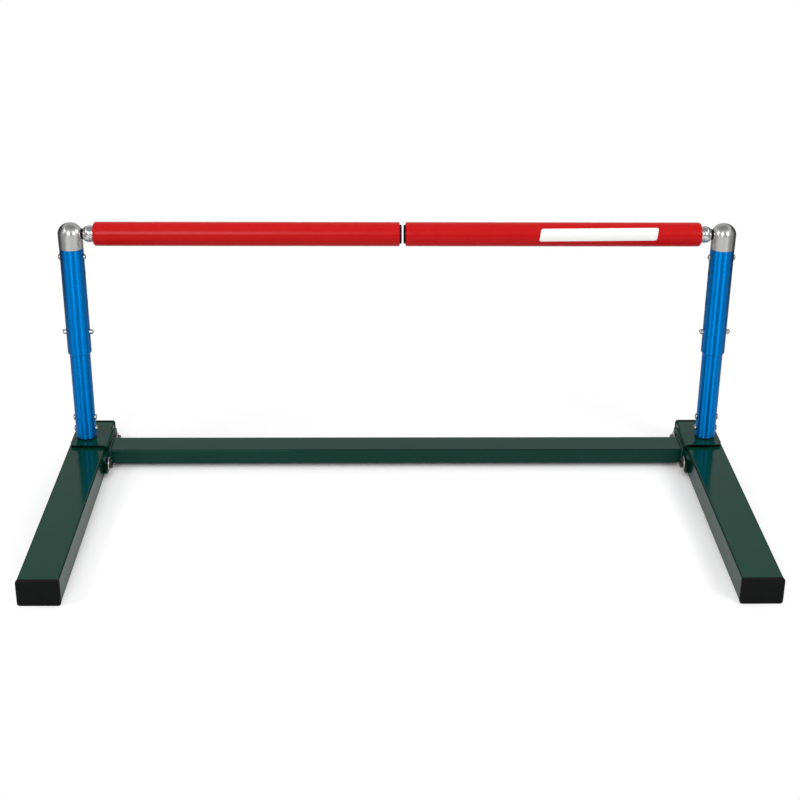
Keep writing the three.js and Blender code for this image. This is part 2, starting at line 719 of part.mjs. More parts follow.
// The spring as a plain open tube, with a bar across each end that carries a rod and an eye.
function makeSpring() {
  const end = SPRING_START + SPRING_LENGTH;
  const bore = SPRING_RADIUS - SPRING_WALL;
  const tube = turnedAlongX([
    [bore, SPRING_START], [SPRING_RADIUS, SPRING_START], [SPRING_RADIUS, end], [bore, end],
  ], HOLE_SIDES);
  const across = rod(SPRING_ROD_RADIUS, 2 * SPRING_RADIUS - SPRING_WALL, SMALL_SIDES);
  const centred = moved(across, 0, 0, SPRING_WALL / 2 - SPRING_RADIUS);
  const nearBar = moved(centred, SPRING_START + SPRING_ROD_RADIUS, 0, 0);
  const farBar = moved(centred, end - SPRING_ROD_RADIUS, 0, 0);
  const pivotEye = eyeAndRod(
    EYE_RADIUS, SWIVEL_PIN_RADIUS + SEAT_GAP, 0, EYE_RADIUS / 2, SPRING_START + SPRING_ROD_RADIUS,
  );
  const pinEye = eyeAndRod(
    SPRING_PIN_EYE_RADIUS, SPRING_PIN_RADIUS + SEAT_GAP, SPRING_PIN_PLACE,
    end - SPRING_ROD_RADIUS, SPRING_PIN_PLACE - SPRING_PIN_RADIUS,
  );
  return join(tube, nearBar, farBar, pivotEye, pinEye);
}

function makeSpringPin() {
  const length = 2 * (CORE_RADIUS - SEAT_GAP);
  return moved(rodAlongY(SPRING_PIN_RADIUS, length, SMALL_SIDES), SPRING_PIN_PLACE, 0, 0);
}

// How far a half of the bar reaches along X from its pivot, up to the plug's flange.
function halfReach(side) {
  return PIVOT_X - side * SPLIT_SHIFT - SPLIT_GAP / 2 - PLUG_FLANGE;
}

function makeCore(side) {
  const end = halfReach(side);
  const tube = turnedAlongX([
    [CORE_BORE, FITTING_BODY], [CORE_RADIUS, FITTING_BODY], [CORE_RADIUS, end], [CORE_BORE, end],
  ]);
  const length = 2 * (CORE_RADIUS + OVERRUN);
  const pinHole = rodAlongY(SPRING_PIN_RADIUS + SEAT_GAP, length, SMALL_SIDES);
  return cut(tube, moved(pinHole, SPRING_PIN_PLACE, 0, 0));
}

function makeSleeve(side) {
  const end = halfReach(side);
  const bore = CORE_RADIUS + SEAT_GAP;
  const rounding = SLEEVE_OUTER_END / CORNER_STEPS;
  return turnedAlongX([
    [bore, SLEEVE_SETBACK],
    [SLEEVE_RADIUS - SLEEVE_OUTER_END, SLEEVE_SETBACK],
    [SLEEVE_RADIUS - rounding, SLEEVE_SETBACK + rounding],
    [SLEEVE_RADIUS, SLEEVE_SETBACK + SLEEVE_OUTER_END],
    [SLEEVE_RADIUS, end - SLEEVE_INNER_END_LENGTH],
    [SLEEVE_RADIUS - SLEEVE_INNER_END_DEPTH, end],
    [bore, end],
  ]);
}

function makePlug(side) {
  const start = halfReach(side);
  const end = start + PLUG_FLANGE;
  return turnedAlongX([
    [0, end],
    [PLUG_RADIUS - PLUG_CHAMFER, end],
    [PLUG_RADIUS, end - PLUG_CHAMFER],
    [PLUG_RADIUS, start],
    [SHANK_RADIUS, start],
    [SHANK_RADIUS, start - PLUG_SHANK],
    [PLUG_RECESS_RADIUS, start - PLUG_SHANK],
    [PLUG_RECESS_RADIUS, start],
    [0, start],
  ]);
}

// Groups of pieces for one side. Geometry made for the left side is mirrored on the right.

function handedFor(side) {
  return (geometry) => (side < 0 ? geometry : mirrored(geometry));
}

function legGroup(side, name) {
  const group = new THREE.Group();
  const handed = handedFor(side);
  group.position.set(side * LEG_X, 0, 0);
  group.add(
    piece(`${name}_leg`, handed(makeLeg()), FINISHES.greenPaint()),
    piece(`${name}_front_end_cap`, makeFrontEndCap(), FINISHES.blackPlastic()),
    piece(`${name}_rear_end_cap`, makeRearEndCap(), FINISHES.blackPlastic()),
    piece(`${name}_saddle`, handed(makeSaddle()), FINISHES.greenPaint(), 0, SADDLE_Y, 0),
  );
  return group;
}

function fastenerGroup(side, name) {
  const group = new THREE.Group();
  const handed = handedFor(side);
  group.position.set(side * LEG_INNER_X, SADDLE_Y, BOLT_HEIGHT);
  for (const [row, place] of [['front', -BOLT_SPACING / 2], ['rear', BOLT_SPACING / 2]]) {
    group.add(
      piece(`${name}_${row}_bolt`, handed(makeBolt()), FINISHES.zinc(), 0, place, 0),
      piece(`${name}_${row}_washer`, handed(makeWasher()), FINISHES.zinc(), 0, place, 0),
    );
  }
  return group;
}

// A pair of like pieces on the outer and the inner side of a post, at one height.
function facingPair(side, name, geometry, material, height) {
  const [outer, inner] = side < 0 ? [mirrored(geometry), geometry] : [geometry, mirrored(geometry)];
  return [
    piece(`${name}_outer`, outer, material(), 0, 0, height),
    piece(`${name}_inner`, inner, material(), 0, 0, height),
  ];
}

function postGroup(side, name) {
  const group = new THREE.Group();
  const [lower, upper] = FOOT_SCREW_RISES.map((rise) => FOOT_HEIGHT + rise);
  const footScrew = makeScrew(INNER_POST_RADIUS);
  const capScrew = makeScrew(OUTER_POST_RADIUS);
  const { steel, zinc, springSteel, blueAnodised } = FINISHES;
  group.position.set(side * POST_X, POST_Y, 0);
  group.add(
    piece(`${name}_inner_post`, makeInnerPost(), blueAnodised(), 0, 0, FOOT_HEIGHT),
    piece(`${name}_outer_post`, makeOuterPost(), blueAnodised(), 0, 0, OUTER_POST_FOOT),
    piece(`${name}_post_cap`, handedFor(side)(makePostCap()), steel(), 0, 0, BAR_HEIGHT),
    piece(`${name}_height_clip`, makeClip(), springSteel(), 0, 0, BUTTON_HEIGHT),
    ...facingPair(side, `${name}_foot_screw_lower`, footScrew, zinc, lower),
    ...facingPair(side, `${name}_foot_screw_upper`, footScrew, zinc, upper),
    ...facingPair(side, `${name}_cap_screw`, capScrew, zinc, CAP_SCREW_HEIGHT),
    ...facingPair(side, `${name}_height_button`, makeButton(), steel, BUTTON_HEIGHT),
  );
  return group;
}

function barGroup(side, name) {
  const group = new THREE.Group();
  const handed = handedFor(side);
  group.position.set(side * PIVOT_X, POST_Y, BAR_HEIGHT);
  group.add(
    piece(`${name}_seat_ring`, handed(makeSeatRing()), FINISHES.blackPlastic()),
    piece(`${name}_tether`, handed(makeTether()), FINISHES.springSteel()),
    piece(`${name}_swivel`, handed(makeSwivel()), FINISHES.zinc()),
    piece(`${name}_bar_fitting`, handed(makeFitting()), FINISHES.steel()),
    piece(`${name}_bar_core`, handed(makeCore(side)), FINISHES.tubeAluminium()),
    piece(`${name}_bar_sleeve`, handed(makeSleeve(side)), FINISHES.redFoam()),
    piece(`${name}_bar_plug`, handed(makePlug(side)), FINISHES.blackPlastic()),
    piece(`${name}_return_spring`, handed(makeSpring()), FINISHES.springSteel()),
    piece(`${name}_spring_pin`, handed(makeSpringPin()), FINISHES.zinc()),
  );
  return group;
}

function buildHurdle() {
  const hurdle = new THREE.Group();
  hurdle.add(piece('crossbar', makeCrossbar(), FINISHES.greenPaint(), 0, POST_Y, 0));
  for (const [side, name] of [[-1, 'left'], [1, 'right']]) {
    hurdle.add(
      legGroup(side, name), fastenerGroup(side, name), postGroup(side, name), barGroup(side, name),
    );
  }
  return hurdle;
}

export default buildHurdle();
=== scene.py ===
"""Looks of a low training hurdle with a sprung bar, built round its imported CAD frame.

The frame is in metres, +Z up, +X to the right along the bar, the long ends of the legs
towards -Y. Sizes in the classes below are in millimetres. A shape that stands on both sides is
drawn for the left one, with +X leading inwards, and mirrored for the right one.
"""

import logging
import math
from abc import ABC, abstractmethod
from collections.abc import Sequence
from dataclasses import dataclass, field, replace
from enum import Enum, IntEnum
from typing import Any

import bmesh
import bpy
from mathutils import Matrix, Vector, noise


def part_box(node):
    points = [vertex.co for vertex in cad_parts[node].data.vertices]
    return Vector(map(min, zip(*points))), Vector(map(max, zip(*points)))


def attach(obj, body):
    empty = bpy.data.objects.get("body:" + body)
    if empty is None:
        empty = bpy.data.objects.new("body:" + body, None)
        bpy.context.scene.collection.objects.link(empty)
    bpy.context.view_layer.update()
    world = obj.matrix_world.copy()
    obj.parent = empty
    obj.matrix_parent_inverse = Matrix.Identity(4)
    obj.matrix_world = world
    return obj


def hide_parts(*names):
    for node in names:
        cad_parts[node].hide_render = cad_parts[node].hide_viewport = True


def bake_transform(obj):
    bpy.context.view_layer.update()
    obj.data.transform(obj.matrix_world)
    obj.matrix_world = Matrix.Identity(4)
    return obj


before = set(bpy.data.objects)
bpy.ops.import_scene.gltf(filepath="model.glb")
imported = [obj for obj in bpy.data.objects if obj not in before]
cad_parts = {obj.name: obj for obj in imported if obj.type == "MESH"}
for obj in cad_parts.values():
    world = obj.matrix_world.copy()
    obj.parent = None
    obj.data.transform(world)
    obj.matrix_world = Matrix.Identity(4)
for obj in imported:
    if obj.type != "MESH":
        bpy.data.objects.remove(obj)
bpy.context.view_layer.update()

MM = 0.001
# Corners closer than this are one, in metres, and the same for a CAD node's loose triangles.
MERGE = 1e-7
CAD_MERGE = 0.002 * MM
# Faces of a CAD node that bend less than this, in radians, are one.
FLAT = math.radians(1)
# How far a tool passes the surface that it cuts, and the corner of its block, in millimetres.
PAST = 1.0
TOOL_CORNER = 0.1
# The turn of the stretched highlights, and the most that weighted normals can be weighted.
QUARTER_TURN = 0.25
FULL_WEIGHT = 100
LOG = logging.getLogger("hurdle")
Outline = Sequence[tuple[float, float]]
Socket = bpy.types.NodeSocket
Tree = bpy.types.NodeTree


# Materials


def linear(colour: str) -> tuple[float, float, float, float]:
    """Turns an sRGB hex colour to linear light.

    Args:
        colour: Six hex digits after a hash sign.

    Returns:
        Linear red, green and blue, and an alpha of 1.
    """
    shares = [int(colour[i:i + 2], 16) / 255 for i in (1, 3, 5)]
    return (*[s / 12.92 if s <= 0.04045 else ((s + 0.055) / 1.055) ** 2.4 for s in shares], 1.0)


def fill_inputs(tree: Tree, node: bpy.types.Node, inputs: dict[Any, Any]) -> None:
    """Sets a node's inputs, or links them.

    Args:
        tree: The tree that holds the node.
        node: The node.
        inputs: A value, or another node's output, for each input's name or number.
    """
    for key, value in inputs.items():
        if isinstance(value, Socket):
            tree.links.new(value, node.inputs[key])
        else:
            node.inputs[key].default_value = value


def add_node(
    tree: Tree, kind: str, inputs: dict[Any, Any] | None = None, **settings: Any
) -> bpy.types.Node:
    """Adds a node with its settings and links.

    Args:
        tree: The tree that gets the node.
        kind: Blender's name for the kind of node.
        inputs: A value, or another node's output, for each input's name or number.
        **settings: The node's own properties.

    Returns:
        The node.
    """
    node = tree.nodes.new(kind)
    for name, value in settings.items():
        setattr(node, name, value)
    fill_inputs(tree, node, inputs or {})
    return node


def emptied_tree(owner: bpy.types.Material | bpy.types.World) -> Tree:
    """Turns on the nodes of a material or a world, and takes them all out.

    Args:
        owner: The material or the world.

    Returns:
        Its empty tree.
    """
    owner.use_nodes = True
    owner.node_tree.nodes.clear()
    return owner.node_tree


class Axis(Enum):
    """A direction of the frame."""

    X = "X"
    Y = "Y"
    Z = "Z"

    def stretch(self, along: float, across: float) -> tuple[float, float, float]:
        """Gives a pattern's scale along this direction and across it."""
        return tuple(along if axis is self else across for axis in Axis)


@dataclass(frozen=True)
class Finish(ABC):
    """A surface as its maker orders it, which each kind of finish gives a pattern.

    The pattern is a height from 0 to 1, which bends the light and changes the gloss, and a
    tint from 0 to 1 between two colours.
    """

    title: str
    colour: str
    other_colour: str
    roughness: float
    spread: float = 0.05
    metallic: float = 0.0
    specular: float = 0.5
    relief: float = 0.02
    anisotropy: float = 0.0
    axis: Axis = Axis.Z

    @abstractmethod
    def pattern(self, tree: Tree, place: Socket) -> tuple[Socket, Socket]:
        """Adds the pattern's nodes.

        Args:
            tree: The material's tree.
            place: Object coordinates.

        Returns:
            The outputs that carry the height and the tint.
        """

    def material(self) -> bpy.types.Material:
        """Makes the material, or finds it where it was made before.

        Returns:
            The material.
        """
        made = bpy.data.materials.get(self.title)
        if made is not None:
            return made
        made = bpy.data.materials.new(self.title)
        made.use_nodes = True
        tree = made.node_tree
        shader = tree.nodes["Principled BSDF"]
        place = add_node(tree, "ShaderNodeTexCoord").outputs["Object"]
        height, tint = self.pattern(tree, place)
        colour = add_node(
            tree, "ShaderNodeMix",
            {0: tint, 6: linear(self.colour), 7: linear(self.other_colour)}, data_type="RGBA",
        )
        gloss = add_node(tree, "ShaderNodeMapRange", {
            "Value": height,
            "To Min": self.roughness - self.spread, "To Max": self.roughness + self.spread,
        })
        bump = add_node(tree, "ShaderNodeBump", {
            "Height": height, "Strength": 1.0, "Distance": self.relief * MM,
        })
        fill_inputs(tree, shader, {
            "Base Color": colour.outputs[2],
            "Roughness": gloss.outputs["Result"],
            "Normal": bump.outputs["Normal"],
            "Metallic": self.metallic,
            "Specular IOR Level": self.specular,
            "Anisotropic": self.anisotropy,
            "Anisotropic Rotation": QUARTER_TURN,
        })
        if self.anisotropy:
            around = add_node(
                tree, "ShaderNodeTangent", direction_type="RADIAL", axis=self.axis.value
            )
            fill_inputs(tree, shader, {"Tangent": around.outputs["Tangent"]})
        return made


@dataclass(frozen=True)
class Sprayed(Finish):
    """A coat that flowed as it was baked: a faint orange peel over slow clouds of tone."""

    peel: float = 2.2
    cloud: float = 90.0

    def pattern(self, tree: Tree, place: Socket) -> tuple[Socket, Socket]:
        """Adds the peel and the clouds.

        Args:
            tree: The material's tree.
            place: Object coordinates.

        Returns:
            The peel's height and the clouds' tint.
        """
        peel = add_node(tree, "ShaderNodeTexNoise", {
            "Vector": place, "Scale": 1 / (self.peel * MM), "Detail": 1.0,
        })
        cloud = add_node(tree, "ShaderNodeTexNoise", {
            "Vector": place, "Scale": 1 / (self.cloud * MM), "Detail": 2.0,
        })
        return peel.outputs["Fac"], cloud.outputs["Fac"]


@dataclass(frozen=True)
class Lined(Finish):
    """Fine lines that a die, a belt or a lathe left, long one way and narrow the other."""

    line: float = 0.7
    length: float = 60.0
    turned: bool = False

    def pattern(self, tree: Tree, place: Socket) -> tuple[Socket, Socket]:
        """Adds the lines, along the axis or, on a turned piece, round it.

        Args:
            tree: The material's tree.
            place: Object coordinates.

        Returns:
            The lines' height, and their tint with slow clouds in it.
        """
        fine, slow = 1 / (self.line * MM), 1 / (self.length * MM)
        scale = self.axis.stretch(fine, slow) if self.turned else self.axis.stretch(slow, fine)
        drawn = add_node(tree, "ShaderNodeMapping", {"Vector": place, "Scale": scale})
        lines = add_node(tree, "ShaderNodeTexNoise", {
            "Vector": drawn.outputs["Vector"], "Scale": 1.0, "Detail": 3.0,
        })
        cloud = add_node(tree, "ShaderNodeTexNoise", {"Vector": place, "Scale": slow})
        tint = add_node(tree, "ShaderNodeMath", {
            0: lines.outputs["Fac"], 1: cloud.outputs["Fac"],
        }, operation="MULTIPLY")
        return lines.outputs["Fac"], tint.outputs["Value"]


@dataclass(frozen=True)
class Grained(Finish):
    """A fine even grain, as a spark-eroded mould, a barrel or a foam skin leaves it."""

    grain: float = 0.5
    blotch: float = 6.0
    detail: float = 2.0

    def pattern(self, tree: Tree, place: Socket) -> tuple[Socket, Socket]:
        """Adds the grain and wider blotches.

        Args:
            tree: The material's tree.
            place: Object coordinates.

        Returns:
            The height, mostly grain with some blotch, and the blotches' tint.
        """
        grain = add_node(tree, "ShaderNodeTexVoronoi", {
            "Vector": place, "Scale": 1 / (self.grain * MM),
        })
        blotch = add_node(tree, "ShaderNodeTexNoise", {
            "Vector": place, "Scale": 1 / (self.blotch * MM), "Detail": self.detail,
        })
        height = add_node(tree, "ShaderNodeMix", {
            0: 0.5, 2: grain.outputs["Distance"], 3: blotch.outputs["Fac"],
        })
        return height.outputs[0], blotch.outputs["Fac"]


@dataclass(frozen=True)
class Stranded(Finish):
    """Twisted wires: slanting ridges round a thin rope that runs along X."""

    strand: float = 0.6

    def pattern(self, tree: Tree, place: Socket) -> tuple[Socket, Socket]:
        """Adds the slanting strands.

        Args:
            tree: The material's tree.
            place: Object coordinates.

        Returns:
            The strands, as height and as tint.
        """
        strands = add_node(tree, "ShaderNodeTexWave", {
            "Vector": place, "Scale": 1 / (self.strand * MM) / math.tau,
        }, bands_direction="DIAGONAL")
        return strands.outputs["Fac"], strands.outputs["Fac"]


# Polyester powder coat on steel: smooth, glossy, dark, so it mirrors the posts and the floor.
GREEN_POWDER_COAT = Sprayed(
    title="green_powder_coat", colour="#033428", other_colour="#053A2D", roughness=0.12,
    spread=0.03, specular=0.2, relief=0.004,
)
# The same coat, duller and darker as painted shade: on a tube's long upper edges, a thin dark
# line of painted shade, and on a bracket's upright faces, painted shade as well.
GREEN_COAT_PAINTED_SHADE = replace(
    GREEN_POWDER_COAT, title="green_coat_painted_shade", colour="#011C15", other_colour="#03241B",
    roughness=0.36, specular=0.07,
)
# Dyed anodised aluminium tube: a metal's shine in blue, drawn into stripes along the post.
BLUE_ANODISED_TUBE = Lined(
    title="blue_anodised_tube", colour="#0284DA", other_colour="#0390EA", roughness=0.36,
    spread=0.04, metallic=1.0, relief=0.003, anisotropy=1.0, axis=Axis.Z, length=80.0,
)
# The wall of a drilled hole and the foot of a post: dull, and dark as painted shade.
ALUMINIUM_PAINTED_SHADE = Grained(
    title="aluminium_painted_shade", colour="#0C0E10", other_colour="#16181A", roughness=0.55,
    spread=0.06, specular=0.1, relief=0.02, grain=0.5, blotch=4.0,
)
# Stainless steel turned and brushed: soft grey bands with fine rings round the cap.
BRUSHED_CAP_STEEL = Lined(
    title="brushed_cap_steel", colour="#C4C4C2", other_colour="#D8D8D6", roughness=0.3,
    spread=0.06, metallic=1.0, relief=0.006, anisotropy=0.6, axis=Axis.Z, line=0.8, turned=True,
)
# Polished steel: nearly a mirror, with the faintest turning rings.
POLISHED_DOME_STEEL = Lined(
    title="polished_dome_steel", colour="#D4D5D6", other_colour="#E0E0E0", roughness=0.2,
    spread=0.03, metallic=1.0, relief=0.001, axis=Axis.X, line=0.9, turned=True,
)
# Bright zinc plate from a barrel: pale silver, slightly clouded.
BRIGHT_ZINC_PLATE = Grained(
    title="bright_zinc_plate", colour="#C0BFBB", other_colour="#DAD9D5", roughness=0.14,
    spread=0.05, metallic=1.0, relief=0.01, grain=0.8, blotch=3.0,
)
# The same plate, darker on a bolt's head as painted shade.
ZINC_PLATE_PAINTED_SHADE = replace(
    BRIGHT_ZINC_PLATE, title="zinc_plate_painted_shade", colour="#51504C", other_colour="#6C6B67",
    roughness=0.16,
)
# The same plate on a punched washer, lighter as a painted highlight.
ZINC_PLATE_PAINTED_HIGHLIGHT = replace(
    BRIGHT_ZINC_PLATE, title="washer_zinc_plate", colour="#DAD9D5", other_colour="#E8E7E3",
    roughness=0.28,
)
# Polypropylene from a spark-eroded mould: matt black with a fine grain.
BLACK_MOULDED_PLASTIC = Grained(
    title="black_moulded_plastic", colour="#0B0C0C", other_colour="#111212", roughness=0.46,
    spread=0.07, specular=0.1, relief=0.03, grain=0.55, blotch=9.0,
)
# Nitrile foam with a smooth skin: even red, a broad soft sheen and faint dimples.
RED_FOAM_SKIN = Grained(
    title="red_foam_skin", colour="#B60307", other_colour="#C2060A", roughness=0.29,
    spread=0.04, specular=0.18, relief=0.05, grain=1.6, blotch=14.0, detail=3.0,
)
# Vinyl film: white, smooth and slightly glossy.
WHITE_VINYL_FILM = Sprayed(
    title="white_vinyl_film", colour="#ECECEA", other_colour="#F4F4F2", roughness=0.35,
    spread=0.04, relief=0.002, peel=5.0, cloud=20.0,
)
# Oiled spring steel: dull grey with a rolled streak.
ROLLED_SPRING_STEEL = Lined(
    title="rolled_spring_steel", colour="#74777A", other_colour="#8B8E90", roughness=0.36,
    metallic=1.0, relief=0.004, axis=Axis.X, line=0.6,
)
# Mill-finish aluminium: pale, with long lines from the die.
MILL_ALUMINIUM = Lined(
    title="mill_aluminium", colour="#BFC2C5", other_colour="#D0D2D4", roughness=0.38,
    metallic=1.0, relief=0.005, axis=Axis.X, line=0.8, length=90.0,
)
# Galvanised wire rope: grey, ridged by its strands.
WIRE_ROPE = Stranded(
    title="galvanised_wire_rope", colour="#7E8183", other_colour="#B4B6B6", roughness=0.4,
    metallic=1.0, relief=0.15,
)


# The bench: shapes in the making


class Carving(Enum):
    """What one shape does to another."""

    CUT = "DIFFERENCE"
    KEEP = "INTERSECT"
    JOIN = "UNION"


class Rounding(Enum):
    """What a bevel rounds."""

    CORNERS = "VERTICES"
    EDGES = "EDGES"


class Lay(Enum):
    """Which way a shape drawn on the XY plane, with its depth on +Z, is laid down."""

    ALONG_X = Matrix(((0, 0, 1, 0), (1, 0, 0, 0), (0, 1, 0, 0), (0, 0, 0, 1)))
    ALONG_Y = Matrix(((1, 0, 0, 0), (0, 0, 1, 0), (0, -1, 0, 0), (0, 0, 0, 1)))
    AGAINST_Y = Matrix(((1, 0, 0, 0), (0, 0, -1, 0), (0, 1, 0, 0), (0, 0, 0, 1)))


class Facets(IntEnum):
    """How many faces go round a turned shape."""

    HEXAGON = 6
    THIN = 32
    SMALL = 40
    MEDIUM = 48
    WIDE = 64
    FINE = 72
    FINER = 80
    FINEST = 96


class Side(Enum):
    """An end of the hurdle. The value is the sign of X there."""

    LEFT = -1
    RIGHT = 1

    def node(self, name: str) -> str:
        """Gives the CAD name of a piece, or of a body, on this side."""
        return f"{self.name.lower()}_{name}"

    def seat(self, x: float, y: float, z: float) -> Matrix:
        """Moves a shape that is drawn for the left side to its place on this side.

        Args:
            x: How far its origin is from the middle of the hurdle.
            y: Its origin's place along Y.
            z: Its origin's height.

        Returns:
            The move, with a mirror in it on the right side.
        """
        move = Matrix.Translation(Vector((self.value * x, y, z)) * MM)
        return move @ Matrix.Diagonal((-self.value, 1, 1, 1))


class Facing(Enum):
    """The side of a post that a screw or button is on. The value is its sign on the left post."""

    OUTER = -1
    INNER = 1

    def turn(self) -> Matrix:
        """Turns a shape drawn for the inner side to this side."""
        return Matrix.Rotation(0 if self is Facing.INNER else math.pi, 4, "Z")


def shown(name: str, data: bpy.types.ID) -> bpy.types.Object:
    """Makes an object of a mesh, a light or a camera, and puts it in the scene.

    Args:
        name: The object's name.
        data: What it shows.

    Returns:
        The object.
    """
    thing = bpy.data.objects.new(name, data)
    bpy.context.scene.collection.objects.link(thing)
    return thing


def draw_rectangle(bm: bmesh.types.BMesh, width: float, depth: float) -> None:
    """Draws a flat rectangle with its middle at the origin.

    Args:
        bm: Where it is drawn.
        width: Its size along X, in metres.
        depth: Its size along Y.
    """
    bmesh.ops.create_grid(bm, x_segments=1, y_segments=1, size=0.5)
    bmesh.ops.scale(bm, vec=(width, depth, 1), verts=bm.verts)


def quarter(radius: float, foot: float, rise: float, step: int) -> list[tuple[float, float]]:
    """Points of a dome's outline, from its rim to its top on the axis.

    Args:
        radius: The rim's radius.
        foot: The rim's height.
        rise: How high the dome is.
        step: The angle between two points, in degrees.

    Returns:
        Its points.
    """
    angles = (math.radians(degrees) for degrees in range(0, 90, step))
    side = [(radius * math.cos(a), foot + rise * math.sin(a)) for a in angles]
    return [*side, (0, foot + rise)]


def arc(radius: float, start: float, end: float, steps: int) -> list[tuple[float, float]]:
    """Points of an arc about the axis, for an outline of distances and heights.

    Args:
        radius: The arc's radius.
        start: Angle of the first point above the XY plane, in degrees.
        end: Angle of the last point.
        steps: How many chords the arc has.

    Returns:
        Its points.
    """
    angles = [math.radians(start + (end - start) * i / steps) for i in range(steps + 1)]
    return [(radius * max(math.cos(a), 0.0), radius * math.sin(a)) for a in angles]


class Blank:
    """A shape in the making, in metres. Sizes are given to it in millimetres."""

    corner_chords: int = 6
    end_chords: int = 3
    edge_chords: int = 2
    sharp_bend: float = 40.0

    def __init__(self) -> None:
        """Starts with nothing."""
        self.bm = bmesh.new()

    @classmethod
    def turned(cls, outline: Outline, steps: int = Facets.FINEST) -> "Blank":
        """Spins an outline of distances and heights about Z.

        Args:
            outline: Its points. It is closed, unless both ends are on the axis.
            steps: How many faces go round.

        Returns:
            The closed shape.
        """
        blank = cls()
        corners = [blank.bm.verts.new(Vector((r, 0, h)) * MM) for r, h in outline]
        pairs = list(zip(corners, corners[1:]))
        if outline[0][0] > 0 or outline[-1][0] > 0:
            pairs.append((corners[-1], corners[0]))
        edges = [blank.bm.edges.new(pair) for pair in pairs]
        bmesh.ops.spin(
            blank.bm, geom=corners + edges, cent=(0, 0, 0), axis=(0, 0, 1), dvec=(0, 0, 0),
            angle=math.tau, steps=steps, use_merge=True, use_duplicate=False,
        )
        return blank.cleaned()

    @classmethod
    def rod(cls, radius: float, start: float, end: float, steps: int = Facets.THIN) -> "Blank":
        """A plain rod on Z between two heights."""
        return cls.turned([(0, start), (radius, start), (radius, end), (0, end)], steps)

    @classmethod
    def hexagon(cls, flats: float, start: float, end: float) -> "Blank":
        """A hex bar on Z between two heights, by its width across flats."""
        return cls.rod(flats / math.sqrt(3), start, end, Facets.HEXAGON)

    @classmethod
    def plate(cls, width: float, height: float, corner: float) -> "Blank":
        """A flat face in the XY plane with round corners.

        Args:
            width: Its size along X.
            height: Its size along Y.
            corner: The corners' radius.

        Returns:
            The face, with nothing behind it yet.
        """
        blank = cls()
        draw_rectangle(blank.bm, width * MM, height * MM)
        return blank.beveled(blank.bm.verts[:], corner, cls.corner_chords, Rounding.CORNERS)

    @classmethod
    def from_node(cls, node: str) -> "Blank":
        """Copies a CAD node, welds its loose triangles and joins the flat ones.

        Args:
            node: The CAD node's name.

        Returns:
            The copy, at its place in the frame.
        """
        blank = cls()
        blank.bm.from_mesh(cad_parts[node].data)
        bmesh.ops.remove_doubles(blank.bm, verts=blank.bm.verts, dist=CAD_MERGE)
        bmesh.ops.dissolve_limit(
            blank.bm, angle_limit=FLAT, verts=blank.bm.verts, edges=blank.bm.edges
        )
        return blank

    def cleaned(self) -> "Blank":
        """Merges doubles and turns the faces out.

        Returns:
            The same shape.
        """
        bmesh.ops.remove_doubles(self.bm, verts=self.bm.verts, dist=MERGE)
        bmesh.ops.recalc_face_normals(self.bm, faces=self.bm.faces)
        return self

    def copy(self) -> "Blank":
        """Gives a second shape like this one.

        Returns:
            The second shape.
        """
        twin = Blank()
        twin.bm = self.bm.copy()
        return twin

    def beveled(
        self, geom: list[bmesh.types.BMVert] | list[bmesh.types.BMEdge], offset: float,
        segments: int, what: Rounding = Rounding.EDGES, profile: float = 0.5,
        clamp: bool = False,
    ) -> "Blank":
        """Rounds corners or edges.

        Args:
            geom: The corners or the edges.
            offset: The rounding's width.
            segments: How many chords it has.
            what: Which of the two they are.
            profile: How full it is.
            clamp: Whether it gets narrower where two of them would meet.

        Returns:
            The same shape.
        """
        bmesh.ops.bevel(
            self.bm, geom=geom, offset=offset * MM, offset_type="OFFSET", segments=segments,
            profile=profile, affect=what.value, material=-1, clamp_overlap=clamp,
        )
        return self

    def inset(self, faces: list[bmesh.types.BMFace], width: float) -> None:
        """Draws a rim inside the edge of flat faces.

        Args:
            faces: The faces, which stay as what is inside the rim.
            width: The rim's width.
        """
        bmesh.ops.inset_region(
            self.bm, faces=faces, thickness=width * MM, depth=0, use_even_offset=True,
            use_boundary=True,
        )

    def pulled(self, faces: list[bmesh.types.BMFace], depth: float) -> "Blank":
        """Pulls flat faces along Z, with walls behind them.

        Args:
            faces: The faces.
            depth: How far, negative to push them in.

        Returns:
            The same shape.
        """
        grown = bmesh.ops.extrude_face_region(self.bm, geom=faces)["geom"]
        verts = [item for item in grown if isinstance(item, bmesh.types.BMVert)]
        bmesh.ops.translate(self.bm, vec=(0, 0, depth * MM), verts=verts)
        return self.cleaned()

    def hollowed(self, wall: float) -> "Blank":
        """Leaves only the rim of a flat face.

        Args:
            wall: The rim's width.

        Returns:
            The same shape.
        """
        inner = self.bm.faces[:]
        self.inset(inner, wall)
        bmesh.ops.delete(self.bm, geom=inner, context="FACES")
        return self

    def raised(self, depth: float) -> "Blank":
        """Closes flat faces to a solid of some depth along Z."""
        return self.pulled(self.bm.faces[:], depth)

    def end_face(self, top: bool) -> bmesh.types.BMFace:
        """Finds the flat face at the top or the bottom."""
        ends = sorted(self.bm.faces, key=lambda face: face.calc_center_median().z)
        return ends[-1 if top else 0]

    def stepped(self, inset: float, depth: float) -> "Blank":
        """Raises a narrower step on the top face, or sinks a pocket in it.

        The old top face stays where it was, inside the step or over the pocket. Corners whose
        radius is smaller than the inset fold over themselves.

        Args:
            inset: How far the step's side is from the edge.
            depth: The step's height, negative for a pocket.

        Returns:
            The same shape.
        """
        top = self.end_face(top=True)
        self.inset([top], inset)
        return self.pulled([top], depth)

    def rounded_end(self, offset: float) -> "Blank":
        """Rounds the edge of the bottom face."""
        return self.beveled(list(self.end_face(top=False).edges), offset, self.end_chords)

